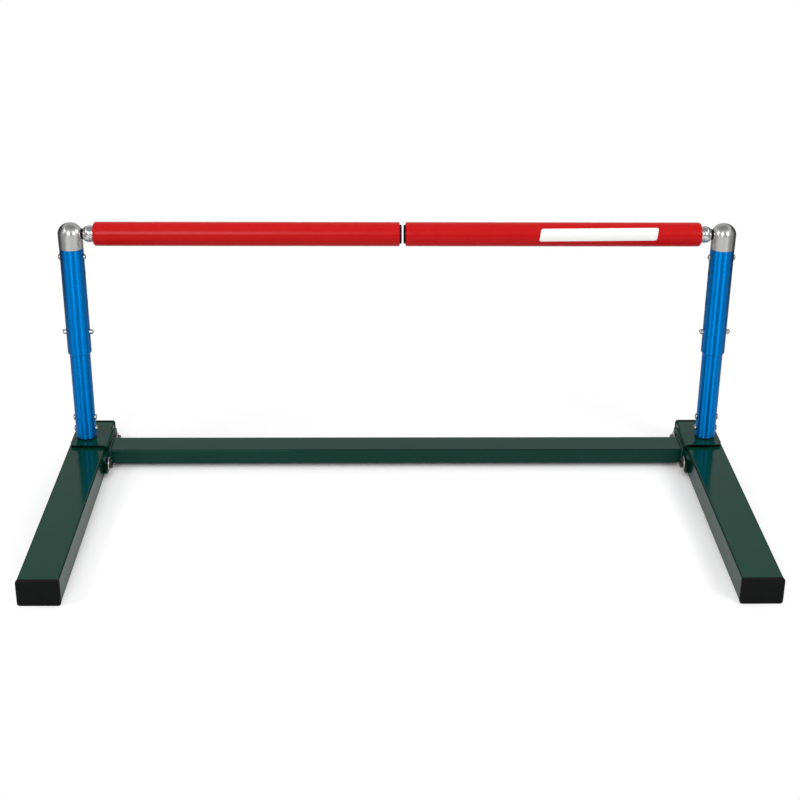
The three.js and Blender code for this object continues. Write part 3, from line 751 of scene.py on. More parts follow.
    def softened(self, offset: float) -> "Blank":
        """Rounds every sharp edge, no wider than the shortest edges near it leave room for.

        Args:
            offset: The rounding's width.

        Returns:
            The same shape.
        """
        least = math.radians(self.sharp_bend)
        sharp = [e for e in self.bm.edges if e.is_manifold and e.calc_face_angle(0.0) > least]
        return self.beveled(sharp, offset, self.edge_chords, clamp=True)

    def placed(self, move: Matrix) -> "Blank":
        """Moves, turns or mirrors the shape, and keeps its faces pointing out.

        Args:
            move: The move.

        Returns:
            The same shape.
        """
        bmesh.ops.transform(self.bm, matrix=move, verts=self.bm.verts)
        if move.determinant() < 0:
            bmesh.ops.reverse_faces(self.bm, faces=self.bm.faces)
        return self

    def shifted(self, x: float = 0, y: float = 0, z: float = 0) -> "Blank":
        """Moves the shape by some millimetres."""
        return self.placed(Matrix.Translation(Vector((x, y, z)) * MM))

    def laid(self, lay: Lay) -> "Blank":
        """Lays the shape down."""
        return self.placed(lay.value)

    def to_mesh(self, name: str) -> bpy.types.Mesh:
        """Writes the shape to a mesh.

        Args:
            name: The mesh's name.

        Returns:
            The mesh, without the CAD's own shading.
        """
        mesh = bpy.data.meshes.new(name)
        self.bm.to_mesh(mesh)
        for old in ("custom_normal", "sharp_face", "sharp_edge"):
            if old in mesh.attributes:
                mesh.attributes.remove(mesh.attributes[old])
        return mesh

    def carved(self, tool: "Blank", how: Carving = Carving.CUT) -> "Blank":
        """Cuts, joins or trims the shape with another.

        Args:
            tool: The other shape.
            how: What the other shape does.

        Returns:
            The same shape.
        """
        work, cutter = (shown("bench", shape.to_mesh("bench")) for shape in (self, tool))
        modifier = work.modifiers.new("carve", "BOOLEAN")
        modifier.operation, modifier.solver, modifier.object = how.value, "EXACT", cutter
        graph = bpy.context.evaluated_depsgraph_get()
        result = bpy.data.meshes.new_from_object(work.evaluated_get(graph))
        self.bm.clear()
        self.bm.from_mesh(result)
        for mesh in (result, work.data, cutter.data):
            bpy.data.meshes.remove(mesh)
        return self

    def made(
        self, name: str, finish: Finish, body: str | None, smooth: float = 32,
        second: "SecondFinish | None" = None,
    ) -> bpy.types.Object:
        """Makes the shape a piece of the hurdle.

        Args:
            name: The piece's name.
            finish: Its finish.
            body: The CAD body that it moves with, or None to leave it unattached.
            smooth: Bends below this angle are shaded smooth, in degrees.
            second: The finish of some of its faces, if they have their own.

        Returns:
            The piece.
        """
        mesh = self.to_mesh(name)
        mesh.shade_smooth()
        mesh.set_sharp_from_angle(angle=math.radians(smooth))
        mesh.materials.clear()
        mesh.materials.append(finish.material())
        if second:
            mesh.materials.append(second.finish.material())
            for face in mesh.polygons:
                face.material_index = int(second.covers(face))
        piece = shown(name, mesh)
        flat = piece.modifiers.new("flat_faces_stay_flat", "WEIGHTED_NORMAL")
        flat.mode, flat.weight, flat.keep_sharp = "FACE_AREA", FULL_WEIGHT, True
        if body:
            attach(piece, body)
        return piece

    def finished(
        self, node: str, finish: Finish, body: str, slot: str,
        second: "SecondFinish | None" = None,
    ) -> bpy.types.Object:
        """Makes the shape the piece that is shown in place of a CAD node.

        Args:
            node: The CAD node's name.
            finish: The piece's finish.
            body: The CAD body that it moves with.
            slot: The name of the slot that it would fill; not used.
            second: The finish of some of its faces, if they have their own.

        Returns:
            The piece.
        """
        piece = self.made(f"{node}_finished", finish, body, second=second)
        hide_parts(node)
        return piece


@dataclass(frozen=True)
class SecondFinish(ABC):
    """A finish that covers only some faces of a piece."""

    finish: Finish

    @abstractmethod
    def covers(self, face: bpy.types.MeshPolygon) -> bool:
        """Whether a face, at its place in the frame, has this finish."""


@dataclass(frozen=True)
class PaintedShadeOnUpperEdges(SecondFinish):
    """Covers the rounded upper edges of a tube that lies along X or Y, for a line of painted
    shade.
    """

    least_bend: float = 26.0

    def covers(self, face: bpy.types.MeshPolygon) -> bool:
        """Whether a face looks up, and to one side as well."""
        steepest = math.cos(math.radians(self.least_bend))
        return face.normal.z > 0 and max(map(abs, face.normal)) < steepest


@dataclass(frozen=True)
class PaintedShadeOnSides(SecondFinish):
    """Covers the faces of a bent plate that stand upright, for painted shade."""

    most_tilt: float = 0.5

    def covers(self, face: bpy.types.MeshPolygon) -> bool:
        """Whether a face looks neither up nor down."""
        return abs(face.normal.z) < self.most_tilt


@dataclass(frozen=True)
class InShade(SecondFinish):
    """Covers the foot of an upright post and the holes drilled in it along X, for painted shade.
    """

    y: float = 0.0
    hole_radius: float = 0.0
    foot: float = 0.0
    lowest: float = 0.0
    highest: float = 0.0
    most_turned: float = 0.2

    def covers(self, face: bpy.types.MeshPolygon) -> bool:
        """Whether a face is in the foot, or runs along X near the middle, off the ends.

        Args:
            face: The face, at its place in the frame.

        Returns:
            True if it has this finish.
        """
        height = face.center.z / MM
        near = abs(face.center.y / MM - self.y) < self.hole_radius
        drilled = near and self.lowest < height < self.highest
        return height < self.foot or drilled and abs(face.normal.x) < self.most_turned


def dressed(node: str, finish: Finish) -> bpy.types.Object:
    """Gives a CAD node that is shown as it is a finish.

    Args:
        node: The CAD node's name.
        finish: Its finish.

    Returns:
        The node's object.
    """
    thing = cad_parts[node]
    for slot in thing.material_slots:
        slot.link = "OBJECT"
        slot.material = finish.material()
    return thing


def middle(node: str) -> Vector:
    """Gives the middle of a CAD node's box, in millimetres."""
    low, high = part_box(node)
    return (low + high) / 2 / MM


# The hurdle


class SubAssembly(ABC):
    """Pieces that are made and dressed together."""

    @abstractmethod
    def build(self) -> list[bpy.types.Object]:
        """Makes the pieces and gives them their finishes."""


@dataclass
class SideAssembly(SubAssembly):
    """Pieces that stand on both sides of the hurdle, made for one of them."""

    side: Side

    def node(self, name: str) -> str:
        """Gives the CAD name of a piece, or of a body, on this side."""
        return self.side.node(name)

    def place(self, name: str) -> Vector:
        """Gives the middle of a CAD node's box on this side, in millimetres."""
        return middle(self.node(name))


@dataclass
class Crossbar(SubAssembly):
    """The steel tube between the legs, with a weld bead round each end."""

    depth: float = 50.0
    height: float = 25.0
    wall: float = 2.0
    corner: float = 2.6
    lift: float = 7.0
    bead: float = 3.0
    bead_cuts: int = 18
    bead_round: float = 0.8
    bead_chords: int = 3
    bead_profile: float = 0.35
    bead_foot: float = 0.1
    bead_smooth: float = 60.0
    ripple: float = 3.2
    ripple_depth: float = 0.35

    def tube(self) -> Blank:
        """Draws the tube between its ends in the frame.

        Returns:
            The tube, at its place.
        """
        low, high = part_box("crossbar")
        blank = Blank.plate(self.depth, self.height, self.corner).hollowed(self.wall)
        blank.raised((high.x - low.x) / MM).laid(Lay.ALONG_X)
        return blank.shifted(low.x / MM, middle("crossbar").y, self.lift + self.height / 2)

    def weld(self, side: Side) -> Blank:
        """Draws the bead of weld between the tube's end and the bracket.

        Args:
            side: The end of the hurdle.

        Returns:
            A fillet round the tube, rippled as a torch leaves it.
        """
        outer = (self.depth + 2 * self.bead, self.height + 2 * self.bead)
        blank = Blank.plate(*outer, self.corner + self.bead)
        long_edges = [e for e in blank.bm.edges if e.calc_length() > 2 * self.bead * MM]
        bmesh.ops.subdivide_edges(blank.bm, edges=long_edges, cuts=self.bead_cuts)
        blank.hollowed(self.bead).raised(self.bead)
        top = max(v.co.z for v in blank.bm.verts)
        rim = [
            e for e in blank.bm.edges
            if all(v.co.z > top / 2 for v in e.verts)
            and all(abs(v.co.x) > self.depth / 2 * MM + MERGE
                    or abs(v.co.y) > self.height / 2 * MM + MERGE for v in e.verts)
        ]
        blank.beveled(
            rim, self.bead_round * self.bead, self.bead_chords, profile=self.bead_profile,
            clamp=True,
        )
        for vert in blank.bm.verts:
            if vert.co.z > self.bead_foot * self.bead * MM:
                wave = noise.noise(vert.co / (self.ripple * MM)) * self.ripple_depth * MM
                vert.co += Vector((vert.co.x, vert.co.y, 0)).normalized() * wave
        low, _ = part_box("crossbar")
        blank.laid(Lay.ALONG_X)
        height = self.lift + self.height / 2
        return blank.placed(side.seat(-low.x / MM, middle("crossbar").y, height))

    def build(self) -> list[bpy.types.Object]:
        """Makes the tube and its two welds.

        Returns:
            The three pieces.
        """
        # Its upper edges get the darker coat, a line of painted shade.
        tube = self.tube().made(
            "crossbar_tube", GREEN_POWDER_COAT, "base", second=PaintedShadeOnUpperEdges(GREEN_COAT_PAINTED_SHADE)
        )
        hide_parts("crossbar")
        made = [tube]
        for side in Side:
            name = side.node("crossbar_weld")
            weld = self.weld(side).made(name, GREEN_POWDER_COAT, "base", self.bead_smooth)
            made.append(weld)
        return made


@dataclass
class Leg(SideAssembly):
    """A leg of rectangular tube with its plastic end caps and the bracket for a post."""

    width: float = 60.0
    height: float = 40.0
    wall: float = 2.0
    corner: float = 3.0
    bolt_hole: float = 4.5
    nut_height: float = 6.5
    nut_flats: float = 13.0
    cap_flange: float = 5.0
    cap_proud: float = 1.0
    cap_corner: float = 4.5
    cap_edge: float = 1.4
    cap_insert: float = 16.0
    cap_wall: float = 2.5
    cap_clearance: float = 2.3
    plate_edge: float = 0.5
    plate_depth: float = 62.0
    plate_flat: float = 51.5
    plate_corner: float = 11.0
    plate_gap: float = 4.1
    plate_gap_depth: float = 5.0

    def tube(self) -> Blank:
        """Draws the leg's tube with two nuts welded inside, drilled for the bolts.

        Returns:
            The tube, at its place.
        """
        low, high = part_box(self.node("leg"))
        blank = Blank.plate(self.width, self.height, self.corner).hollowed(self.wall)
        blank.raised((high.y - low.y) / MM).laid(Lay.ALONG_Y).shifted(0, low.y / MM, 0)
        face = self.width / 2
        for row in ("front_bolt", "rear_bolt"):
            bolt = self.place(row)
            height = bolt.z - self.height / 2
            nut_end = face - self.wall - self.nut_height
            nut = Blank.hexagon(self.nut_flats, 0, self.nut_height + PAST)
            nut.laid(Lay.ALONG_X).shifted(nut_end, bolt.y, height)
            hole = Blank.rod(self.bolt_hole, nut_end - self.wall, face + 2 * PAST)
            hole.laid(Lay.ALONG_X).shifted(0, bolt.y, height)
            blank.carved(nut, Carving.JOIN).carved(hole)
        return blank.placed(self.side.seat(abs(self.place("leg").x), 0, self.height / 2))

    def saddle(self) -> Blank:
        """Draws the bracket with round corners and a shadow gap under its top plate.

        Its edges stay sharp: the tiny edges that the cuts leave give their rounding no room.

        Returns:
            The bracket, at its place.
        """
        low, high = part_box(self.node("saddle"))
        outer_edge = max(abs(low.x), abs(high.x)) / MM
        seat = self.side.seat(outer_edge, (low.y + high.y) / 2 / MM, self.height)
        blank = Blank.from_node(self.node("saddle"))
        for end in (-1, 1):
            blank.carved(self.corner_cutter(end).placed(seat))
        reach = self.plate_depth / 2 + self.plate_gap_depth
        length = self.plate_flat + reach
        gap = Blank.plate(length, 2 * reach, self.corner).raised(self.plate_gap)
        gap.shifted((self.plate_flat - reach) / 2)
        core = Blank.plate(
            length, self.plate_depth - 2 * self.plate_gap_depth,
            self.plate_corner - self.plate_gap_depth,
        ).raised(2 * self.plate_gap)
        core.shifted(self.plate_gap_depth + length / 2, 0, -self.plate_gap / 2)
        gap.carved(core)
        return blank.carved(gap.placed(seat)).softened(self.plate_edge)

    def corner_cutter(self, end: int) -> Blank:
        """A tool that rounds an outer corner of the top plate, from the plate's outer edge.

        Args:
            end: -1 for the corner in front, 1 for the one at the back.

        Returns:
            What stands outside the round corner.
        """
        radius, deep = self.plate_corner, 4 * self.plate_gap
        span = radius + PAST
        centre = end * (self.plate_depth / 2 - radius)
        block = Blank.plate(span, span, TOOL_CORNER).raised(deep)
        block.shifted(radius - span / 2, centre + end * span / 2)
        corner = Blank.rod(radius, -PAST, deep + PAST, Facets.FINE)
        return block.carved(corner.shifted(radius, centre))

    def end_cap(self, front: bool) -> Blank:
        """Draws a plastic cap: a flange with rounded edges and an insert behind it.

        The insert's pocket is closed by the face that it was sunk from.

        Args:
            front: Whether it is the cap at the long end of the leg.

        Returns:
            The cap, at its place.
        """
        low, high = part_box(self.node("front_end_cap" if front else "rear_end_cap"))
        outer = (self.width + 2 * self.cap_proud, self.height + self.cap_proud)
        blank = Blank.plate(*outer, self.cap_corner).raised(self.cap_flange)
        blank.rounded_end(self.cap_edge)
        blank.stepped(self.cap_proud + self.cap_clearance, self.cap_insert)
        blank.stepped(self.cap_wall, -self.cap_insert)
        blank.laid(Lay.ALONG_Y if front else Lay.AGAINST_Y)
        place = (low + high) / 2 / MM
        return blank.shifted(place.x, (low if front else high).y / MM, place.z)

    def build(self) -> list[bpy.types.Object]:
        """Makes the leg, its caps and its bracket.

        Returns:
            The four pieces.
        """
        coat, slot = GREEN_POWDER_COAT, "green_paint"
        # The upper edges and the bracket's upright faces get the darker coat: painted shade.
        made = [
            self.tube().finished(
                self.node("leg"), coat, "base", slot, PaintedShadeOnUpperEdges(GREEN_COAT_PAINTED_SHADE)
            ),
            self.saddle().finished(
                self.node("saddle"), coat, "base", slot, PaintedShadeOnSides(GREEN_COAT_PAINTED_SHADE)
            ),
        ]
        for front in (True, False):
            node = self.node("front_end_cap" if front else "rear_end_cap")
            cap = self.end_cap(front)
            made.append(cap.finished(node, BLACK_MOULDED_PLASTIC, "base", "black_plastic"))
        return made


@dataclass
class Fasteners(SideAssembly):
    """The hex bolts and washers that hold one bracket to its leg."""

    flats: float = 13.0
    head: float = 4.4
    chamfer_radius: float = 6.2
    chamfer_angle: float = 30.0
    chamfer_drop: float = 0.58
    shank_radius: float = 4.0
    shank: float = 18.0
    shank_chamfer: float = 0.8
    washer_radius: float = 12.0
    washer_bore: float = 4.5
    washer: float = 2.0
    washer_edge: float = 0.8
    front_turn: float = 17.0
    rear_turn: float = 49.0

    def bolt(self) -> Blank:
        """Draws a bolt on Z with its seat at zero and its head above.

        Returns:
            The bolt.
        """
        corner = self.flats / math.sqrt(3)
        slope = (corner - self.chamfer_radius) * math.tan(math.radians(self.chamfer_angle))
        head = Blank.hexagon(self.flats, 0, self.head)
        head.carved(Blank.turned([
            (0, -PAST), (corner + PAST, -PAST),
            (corner + PAST, self.head - slope - self.chamfer_drop),
            (self.chamfer_radius, self.head), (0, self.head),
        ], Facets.MEDIUM), Carving.KEEP)
        return head.carved(Blank.turned([
            (0, -self.shank), (self.shank_radius - self.shank_chamfer, -self.shank),
            (self.shank_radius, self.shank_chamfer - self.shank),
            (self.shank_radius, self.head / 2), (0, self.head / 2),
        ], Facets.THIN), Carving.JOIN)

    def flat_washer(self) -> Blank:
        """Draws a washer that lies on zero, with its punched edges rounded.

        Returns:
            The washer on Z.
        """
        return Blank.turned([
            (self.washer_bore, 0), (self.washer_radius, 0), (self.washer_radius, self.washer),
            (self.washer_bore, self.washer),
        ], Facets.WIDE).softened(self.washer_edge)

    def build(self) -> list[bpy.types.Object]:
        """Makes two bolts and two washers.

        Returns:
            The four pieces.
        """
        made = []
        # The bolt's head is darker as painted shade, the washer lighter as a painted highlight.
        parts = [
            ("bolt", self.bolt(), self.washer, ZINC_PLATE_PAINTED_SHADE),
            ("washer", self.flat_washer(), 0, ZINC_PLATE_PAINTED_HIGHLIGHT),
        ]
        for row, degrees in (("front", self.front_turn), ("rear", self.rear_turn)):
            place = self.place(f"{row}_washer")
            seat = abs(place.x) - self.washer / 2
            turn = Matrix.Rotation(math.radians(degrees), 4, "Z")
            for name, blank, lift, finish in parts:
                node = self.node(f"{row}_{name}")
                shape = blank.copy().placed(turn).laid(Lay.ALONG_X)
                shape.placed(self.side.seat(seat - lift, place.y, place.z))
                made.append(shape.finished(node, finish, "base", "zinc_plate"))
        return made


@dataclass
class Upright(SideAssembly):
    """A telescoping post: two anodised tubes, a domed cap, screws and snap buttons."""

    inner_radius: float = 16.5
    inner_wall: float = 1.5
    outer_radius: float = 19.0
    outer_wall: float = 2.0
    tube_edge: float = 0.3
    tube_lip: float = 1.1
    foot_groove: float = 1.6
    screw_hole: float = 2.7
    button_hole: float = 4.5
    hole_step: float = 50.8
    hole_margin: float = 4.0
    holes: int = 3
    cap_radius: float = 20.0
    cap_wall: float = 2.0
    cap_side: float = 23.0
    cap_spigot: float = 26.0
    cap_step: float = 4.0
    cap_fit: float = 0.3
    cap_rim: float = 0.5
    cap_skin: float = 19.6
    cap_crown: float = 18.1
    cap_foot: float = 19.25
    ring_radius: float = 8.5
    ring_bore: float = 3.0
    ring_flange_radius: float = 10.5
    ring_flange: float = 2.0
    ring_flange_gap: float = 0.8
    dome_radius: float = 13.5
    pivot_reach: float = 31.0
    crown_chords: int = 20
    hollow_chords: int = 16
    cup_chords: int = 10

    def axis(self) -> tuple[float, float]:
        """Gives the post's distance from the middle of the hurdle, and its place along Y."""
        place = self.place("inner_post")
        return abs(place.x), place.y

    def tube(self, node: str, radius: float, wall: float, groove: float) -> Blank:
        """Draws a tube with a chamfered foot between the heights of a CAD node.

        Args:
            node: The CAD node's name without its side.
            radius: The tube's outer radius.
            wall: Its wall.
            groove: The height of the narrower neck below the chamfer.

        Returns:
            The tube on Z, at its height.
        """
        low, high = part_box(self.node(node))
        start, end = low.z / MM, high.z / MM
        bore, neck = radius - wall, radius - self.tube_lip
        shoulder = start + groove
        return Blank.turned([
            (bore, start), (neck, start), (neck, shoulder), (radius, shoulder + self.tube_lip),
            (radius, end), (bore, end),
        ]).softened(self.tube_edge)

    def hole(self, radius: float, height: float) -> Blank:
        """A tool that drills right through a post at one height."""
        reach = 2 * self.cap_radius
        return Blank.rod(radius, -reach, reach).laid(Lay.ALONG_X).shifted(z=height)

    def inner_tube(self) -> Blank:
        """Draws the lower tube, drilled for the foot screws and the buttons.

        Returns:
            The tube on Z.
        """
        blank = self.tube("inner_post", self.inner_radius, self.inner_wall, self.foot_groove)
        for screw in ("foot_screw_lower_inner", "foot_screw_upper_inner"):
            blank.carved(self.hole(self.screw_hole, self.place(screw).z))
        return blank.carved(self.hole(self.button_hole, self.place("height_button_inner").z))

    def outer_tube(self) -> Blank:
        """Draws the upper tube with its row of height holes.

        Returns:
            The tube on Z.
        """
        blank = self.tube("outer_post", self.outer_radius, self.outer_wall, self.tube_edge)
        lowest = self.place("height_button_inner").z
        for step in range(self.holes):
            blank.carved(self.hole(self.button_hole, lowest + step * self.hole_step))
        return blank.carved(self.hole(self.screw_hole, self.place("cap_screw_inner").z))

    def bar_height(self) -> float:
        """Gives the height of the bar's axis."""
        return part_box(self.node("post_cap"))[1].z / MM - self.cap_radius

    def cap(self) -> Blank:
        """Draws the cap, hollow, with a hole for the seat ring and a spigot below.

        Returns:
            The cap on Z, at its height.
        """
        spigot = self.outer_radius - self.outer_wall - self.cap_fit
        bore, hollow = spigot - self.cap_wall, self.cap_radius - self.cap_wall
        foot, ledge = -self.cap_side - self.cap_spigot, self.cap_step - self.cap_side
        inside, outside = (
            [(r, h * self.cap_crown / self.cap_skin) for r, h in curve]
            for curve in (arc(hollow, 90, 0, self.hollow_chords),
                          arc(self.cap_skin, 0, 90, self.crown_chords))
        )
        blank = Blank.turned([
            *inside, (hollow, ledge + self.cap_wall), (bore, ledge),
            (bore, foot), (spigot, foot), (spigot, -self.cap_side),
            (self.cap_foot - self.cap_rim, -self.cap_side),
            (self.cap_foot, self.cap_rim - self.cap_side), *outside,
        ])
        ring = Blank.rod(self.ring_radius + self.cap_fit, 0, 2 * self.cap_radius, Facets.WIDE)
        blank.carved(ring.laid(Lay.ALONG_X)).shifted(z=self.bar_height())
        return blank.carved(self.hole(self.screw_hole, self.place("cap_screw_inner").z))

    def seat_ring(self) -> Blank:
        """Draws the ring that seats the bar's dome, with X counted from the pivot.

        Returns:
            The ring, lying along X.
        """
        hollow = self.cap_radius - self.cap_wall
        wall = math.sqrt(hollow ** 2 - self.ring_flange_radius ** 2)
        front = wall - self.ring_flange_gap - self.pivot_reach
        cup = self.dome_radius + self.cap_fit
        edge, start = (
            -90 + math.degrees(math.asin(r / cup)) for r in (self.ring_radius, self.ring_bore)
        )
        return Blank.turned([
            (self.ring_bore, front - self.ring_flange),
            (self.ring_flange_radius, front - self.ring_flange),
            (self.ring_flange_radius, front), (self.ring_radius, front),
            *arc(cup, edge, start, self.cup_chords),
        ], Facets.FINE).laid(Lay.ALONG_X)

    def shade(self, tube: str, foot: float = 0.0) -> InShade:
        """Gives a tube's drilled holes, and its foot, a dull dark finish that paints shade.

        Args:
            tube: The tube's CAD name without its side.
            foot: How much of its foot gets the painted shade, if any does.

        Returns:
            The finish, with the faces that it covers.
        """
        low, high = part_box(self.node(tube))
        bottom, top = low.z / MM, high.z / MM
        return InShade(
            ALUMINIUM_PAINTED_SHADE, y=self.axis()[1], hole_radius=self.button_hole + self.tube_edge,
            foot=bottom + foot if foot else 0.0,
            lowest=bottom + self.hole_margin, highest=top - self.hole_margin,
        )

    def build(self) -> list[bpy.types.Object]:
        """Makes the tubes, the cap and the seat ring.

        Returns:
            The four pieces.
        """
        x, y = self.axis()
        seat = self.side.seat(x, y, 0)
        pivot = self.side.seat(x - self.pivot_reach, y, self.bar_height())
        moving = self.node("upright")
        # The groove and chamfer at the foot of the lower tube get painted shade.
        foot = self.foot_groove + self.tube_lip
        return [
            self.inner_tube().placed(seat).finished(
                self.node("inner_post"), BLUE_ANODISED_TUBE, "base", "blue_anodised",
                self.shade("inner_post", foot),
            ),
            self.outer_tube().placed(seat).finished(
                self.node("outer_post"), BLUE_ANODISED_TUBE, moving, "blue_anodised",
                self.shade("outer_post"),
            ),
            self.cap().placed(seat).finished(
                self.node("post_cap"), BRUSHED_CAP_STEEL, moving, "satin_steel"
            ),
            self.seat_ring().placed(pivot).finished(
                self.node("seat_ring"), BLACK_MOULDED_PLASTIC, moving, "black_plastic"
            ),
        ]


@dataclass
class PostHardware(SideAssembly):
    """The domed screws of a post and the snap buttons that lock its height."""

    inner_radius: float = Upright.inner_radius
    inner_wall: float = Upright.inner_wall
    outer_radius: float = Upright.outer_radius
    screw_radius: float = 2.4
    screw_length: float = 10.0
    head_radius: float = 5.0
    head_height: float = 3.0
    head_edge: float = 0.6
    head_step: int = 10
    socket_flats: float = 3.0
    socket_depth: float = 1.9
    button_radius: float = 4.2
    button_flange_radius: float = 5.2
    button_flange: float = 1.4
    button_proud: float = 6.0
    button_dome: float = 2.9
    button_step: int = 9
    button_fit: float = 0.3

    def screw(self, post_radius: float) -> Blank:
        """Draws a screw with a domed head and a hex socket, on the inner side of a post.

        Args:
            post_radius: The radius of the tube that its head lies on.

        Returns:
            The screw, lying along X.
        """
        rise = self.head_height - self.head_edge
        blank = Blank.turned([
            (0, -self.screw_length), (self.screw_radius, -self.screw_length),
            (self.screw_radius, 0), (self.head_radius, 0),
            *quarter(self.head_radius, self.head_edge, rise, self.head_step),
        ], Facets.SMALL)
        bottom = self.head_height - self.socket_depth
        blank.carved(Blank.hexagon(self.socket_flats, bottom, self.head_height + PAST))
        return blank.laid(Lay.ALONG_X).shifted(x=post_radius)

    def button(self) -> Blank:
        """Draws a snap button on the inner side of a post, with its flange inside the tube.

        Returns:
            The button, lying along X.
        """
        bore = self.inner_radius - self.inner_wall
        outer = math.sqrt(bore ** 2 - self.button_flange_radius ** 2) - self.button_fit
        inner = outer - self.button_flange
        shoulder = self.outer_radius + self.button_proud - self.button_dome
        return Blank.turned([
            (0, inner), (self.button_flange_radius, inner),
            (self.button_flange_radius, outer), (self.button_radius, outer),
            *quarter(self.button_radius, shoulder, self.button_dome, self.button_step),
        ], Facets.SMALL).laid(Lay.ALONG_X)

    def build(self) -> list[bpy.types.Object]:
        """Makes the post's six screws and two buttons.

        Returns:
            The eight pieces.
        """
        post = self.place("inner_post")
        foot, top = self.screw(self.inner_radius), self.screw(self.outer_radius)
        parts = [
            ("foot_screw_lower", foot, "base", "zinc_plate"),
            ("foot_screw_upper", foot, "base", "zinc_plate"),
            ("cap_screw", top, self.node("upright"), "zinc_plate"),
            ("height_button", self.button(), "", "satin_steel"),
        ]
        made = []
        for name, blank, fixed_to, slot in parts:
            for facing in Facing:
                where = facing.name.lower()
                node = self.node(f"{name}_{where}")
                body = fixed_to or self.node(f"button_{where}")
                seat = self.side.seat(abs(post.x), post.y, middle(node).z) @ facing.turn()
                piece = blank.copy().placed(seat)
                made.append(piece.finished(node, BRIGHT_ZINC_PLATE, body, slot))
        return made


@dataclass
class SpringClip(SideAssembly):
    """The bent strip inside a post, made as two leaves, one at each button that it pushes out."""

    toe: float = 5.0
    room: float = 40.0
    edge: float = 0.1

    def leaf(self, facing: Facing) -> Blank:
        """Cuts one leaf from a copy of the CAD's strip.

        Args:
            facing: The side of the post that its button is on.

        Returns:
            The leaf, at its place.
        """
        place = self.place("height_clip")
        half = Blank.plate(self.room, self.room, self.toe).raised(2 * self.room)
        half.shifted(self.room / 2, 0, -self.room)
        half.placed(self.side.seat(abs(place.x), place.y, place.z) @ facing.turn())
        strip = Blank.from_node(self.node("height_clip"))
        return strip.carved(half, Carving.KEEP).softened(self.edge)

    def build(self) -> list[bpy.types.Object]:
        """Makes both leaves, joined at the bend.

        Returns:
            The two pieces.
        """
        node = self.node("height_clip")
        low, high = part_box(node)
        place, made = (low + high) / 2, []
        for facing in Facing:
            where = facing.name.lower()
            piece = self.leaf(facing).made(f"{node}_{where}_leaf", ROLLED_SPRING_STEEL, None)
            self.node(f"button_{where}")
            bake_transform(piece)
            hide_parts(node)
            made.append(piece)
        return made


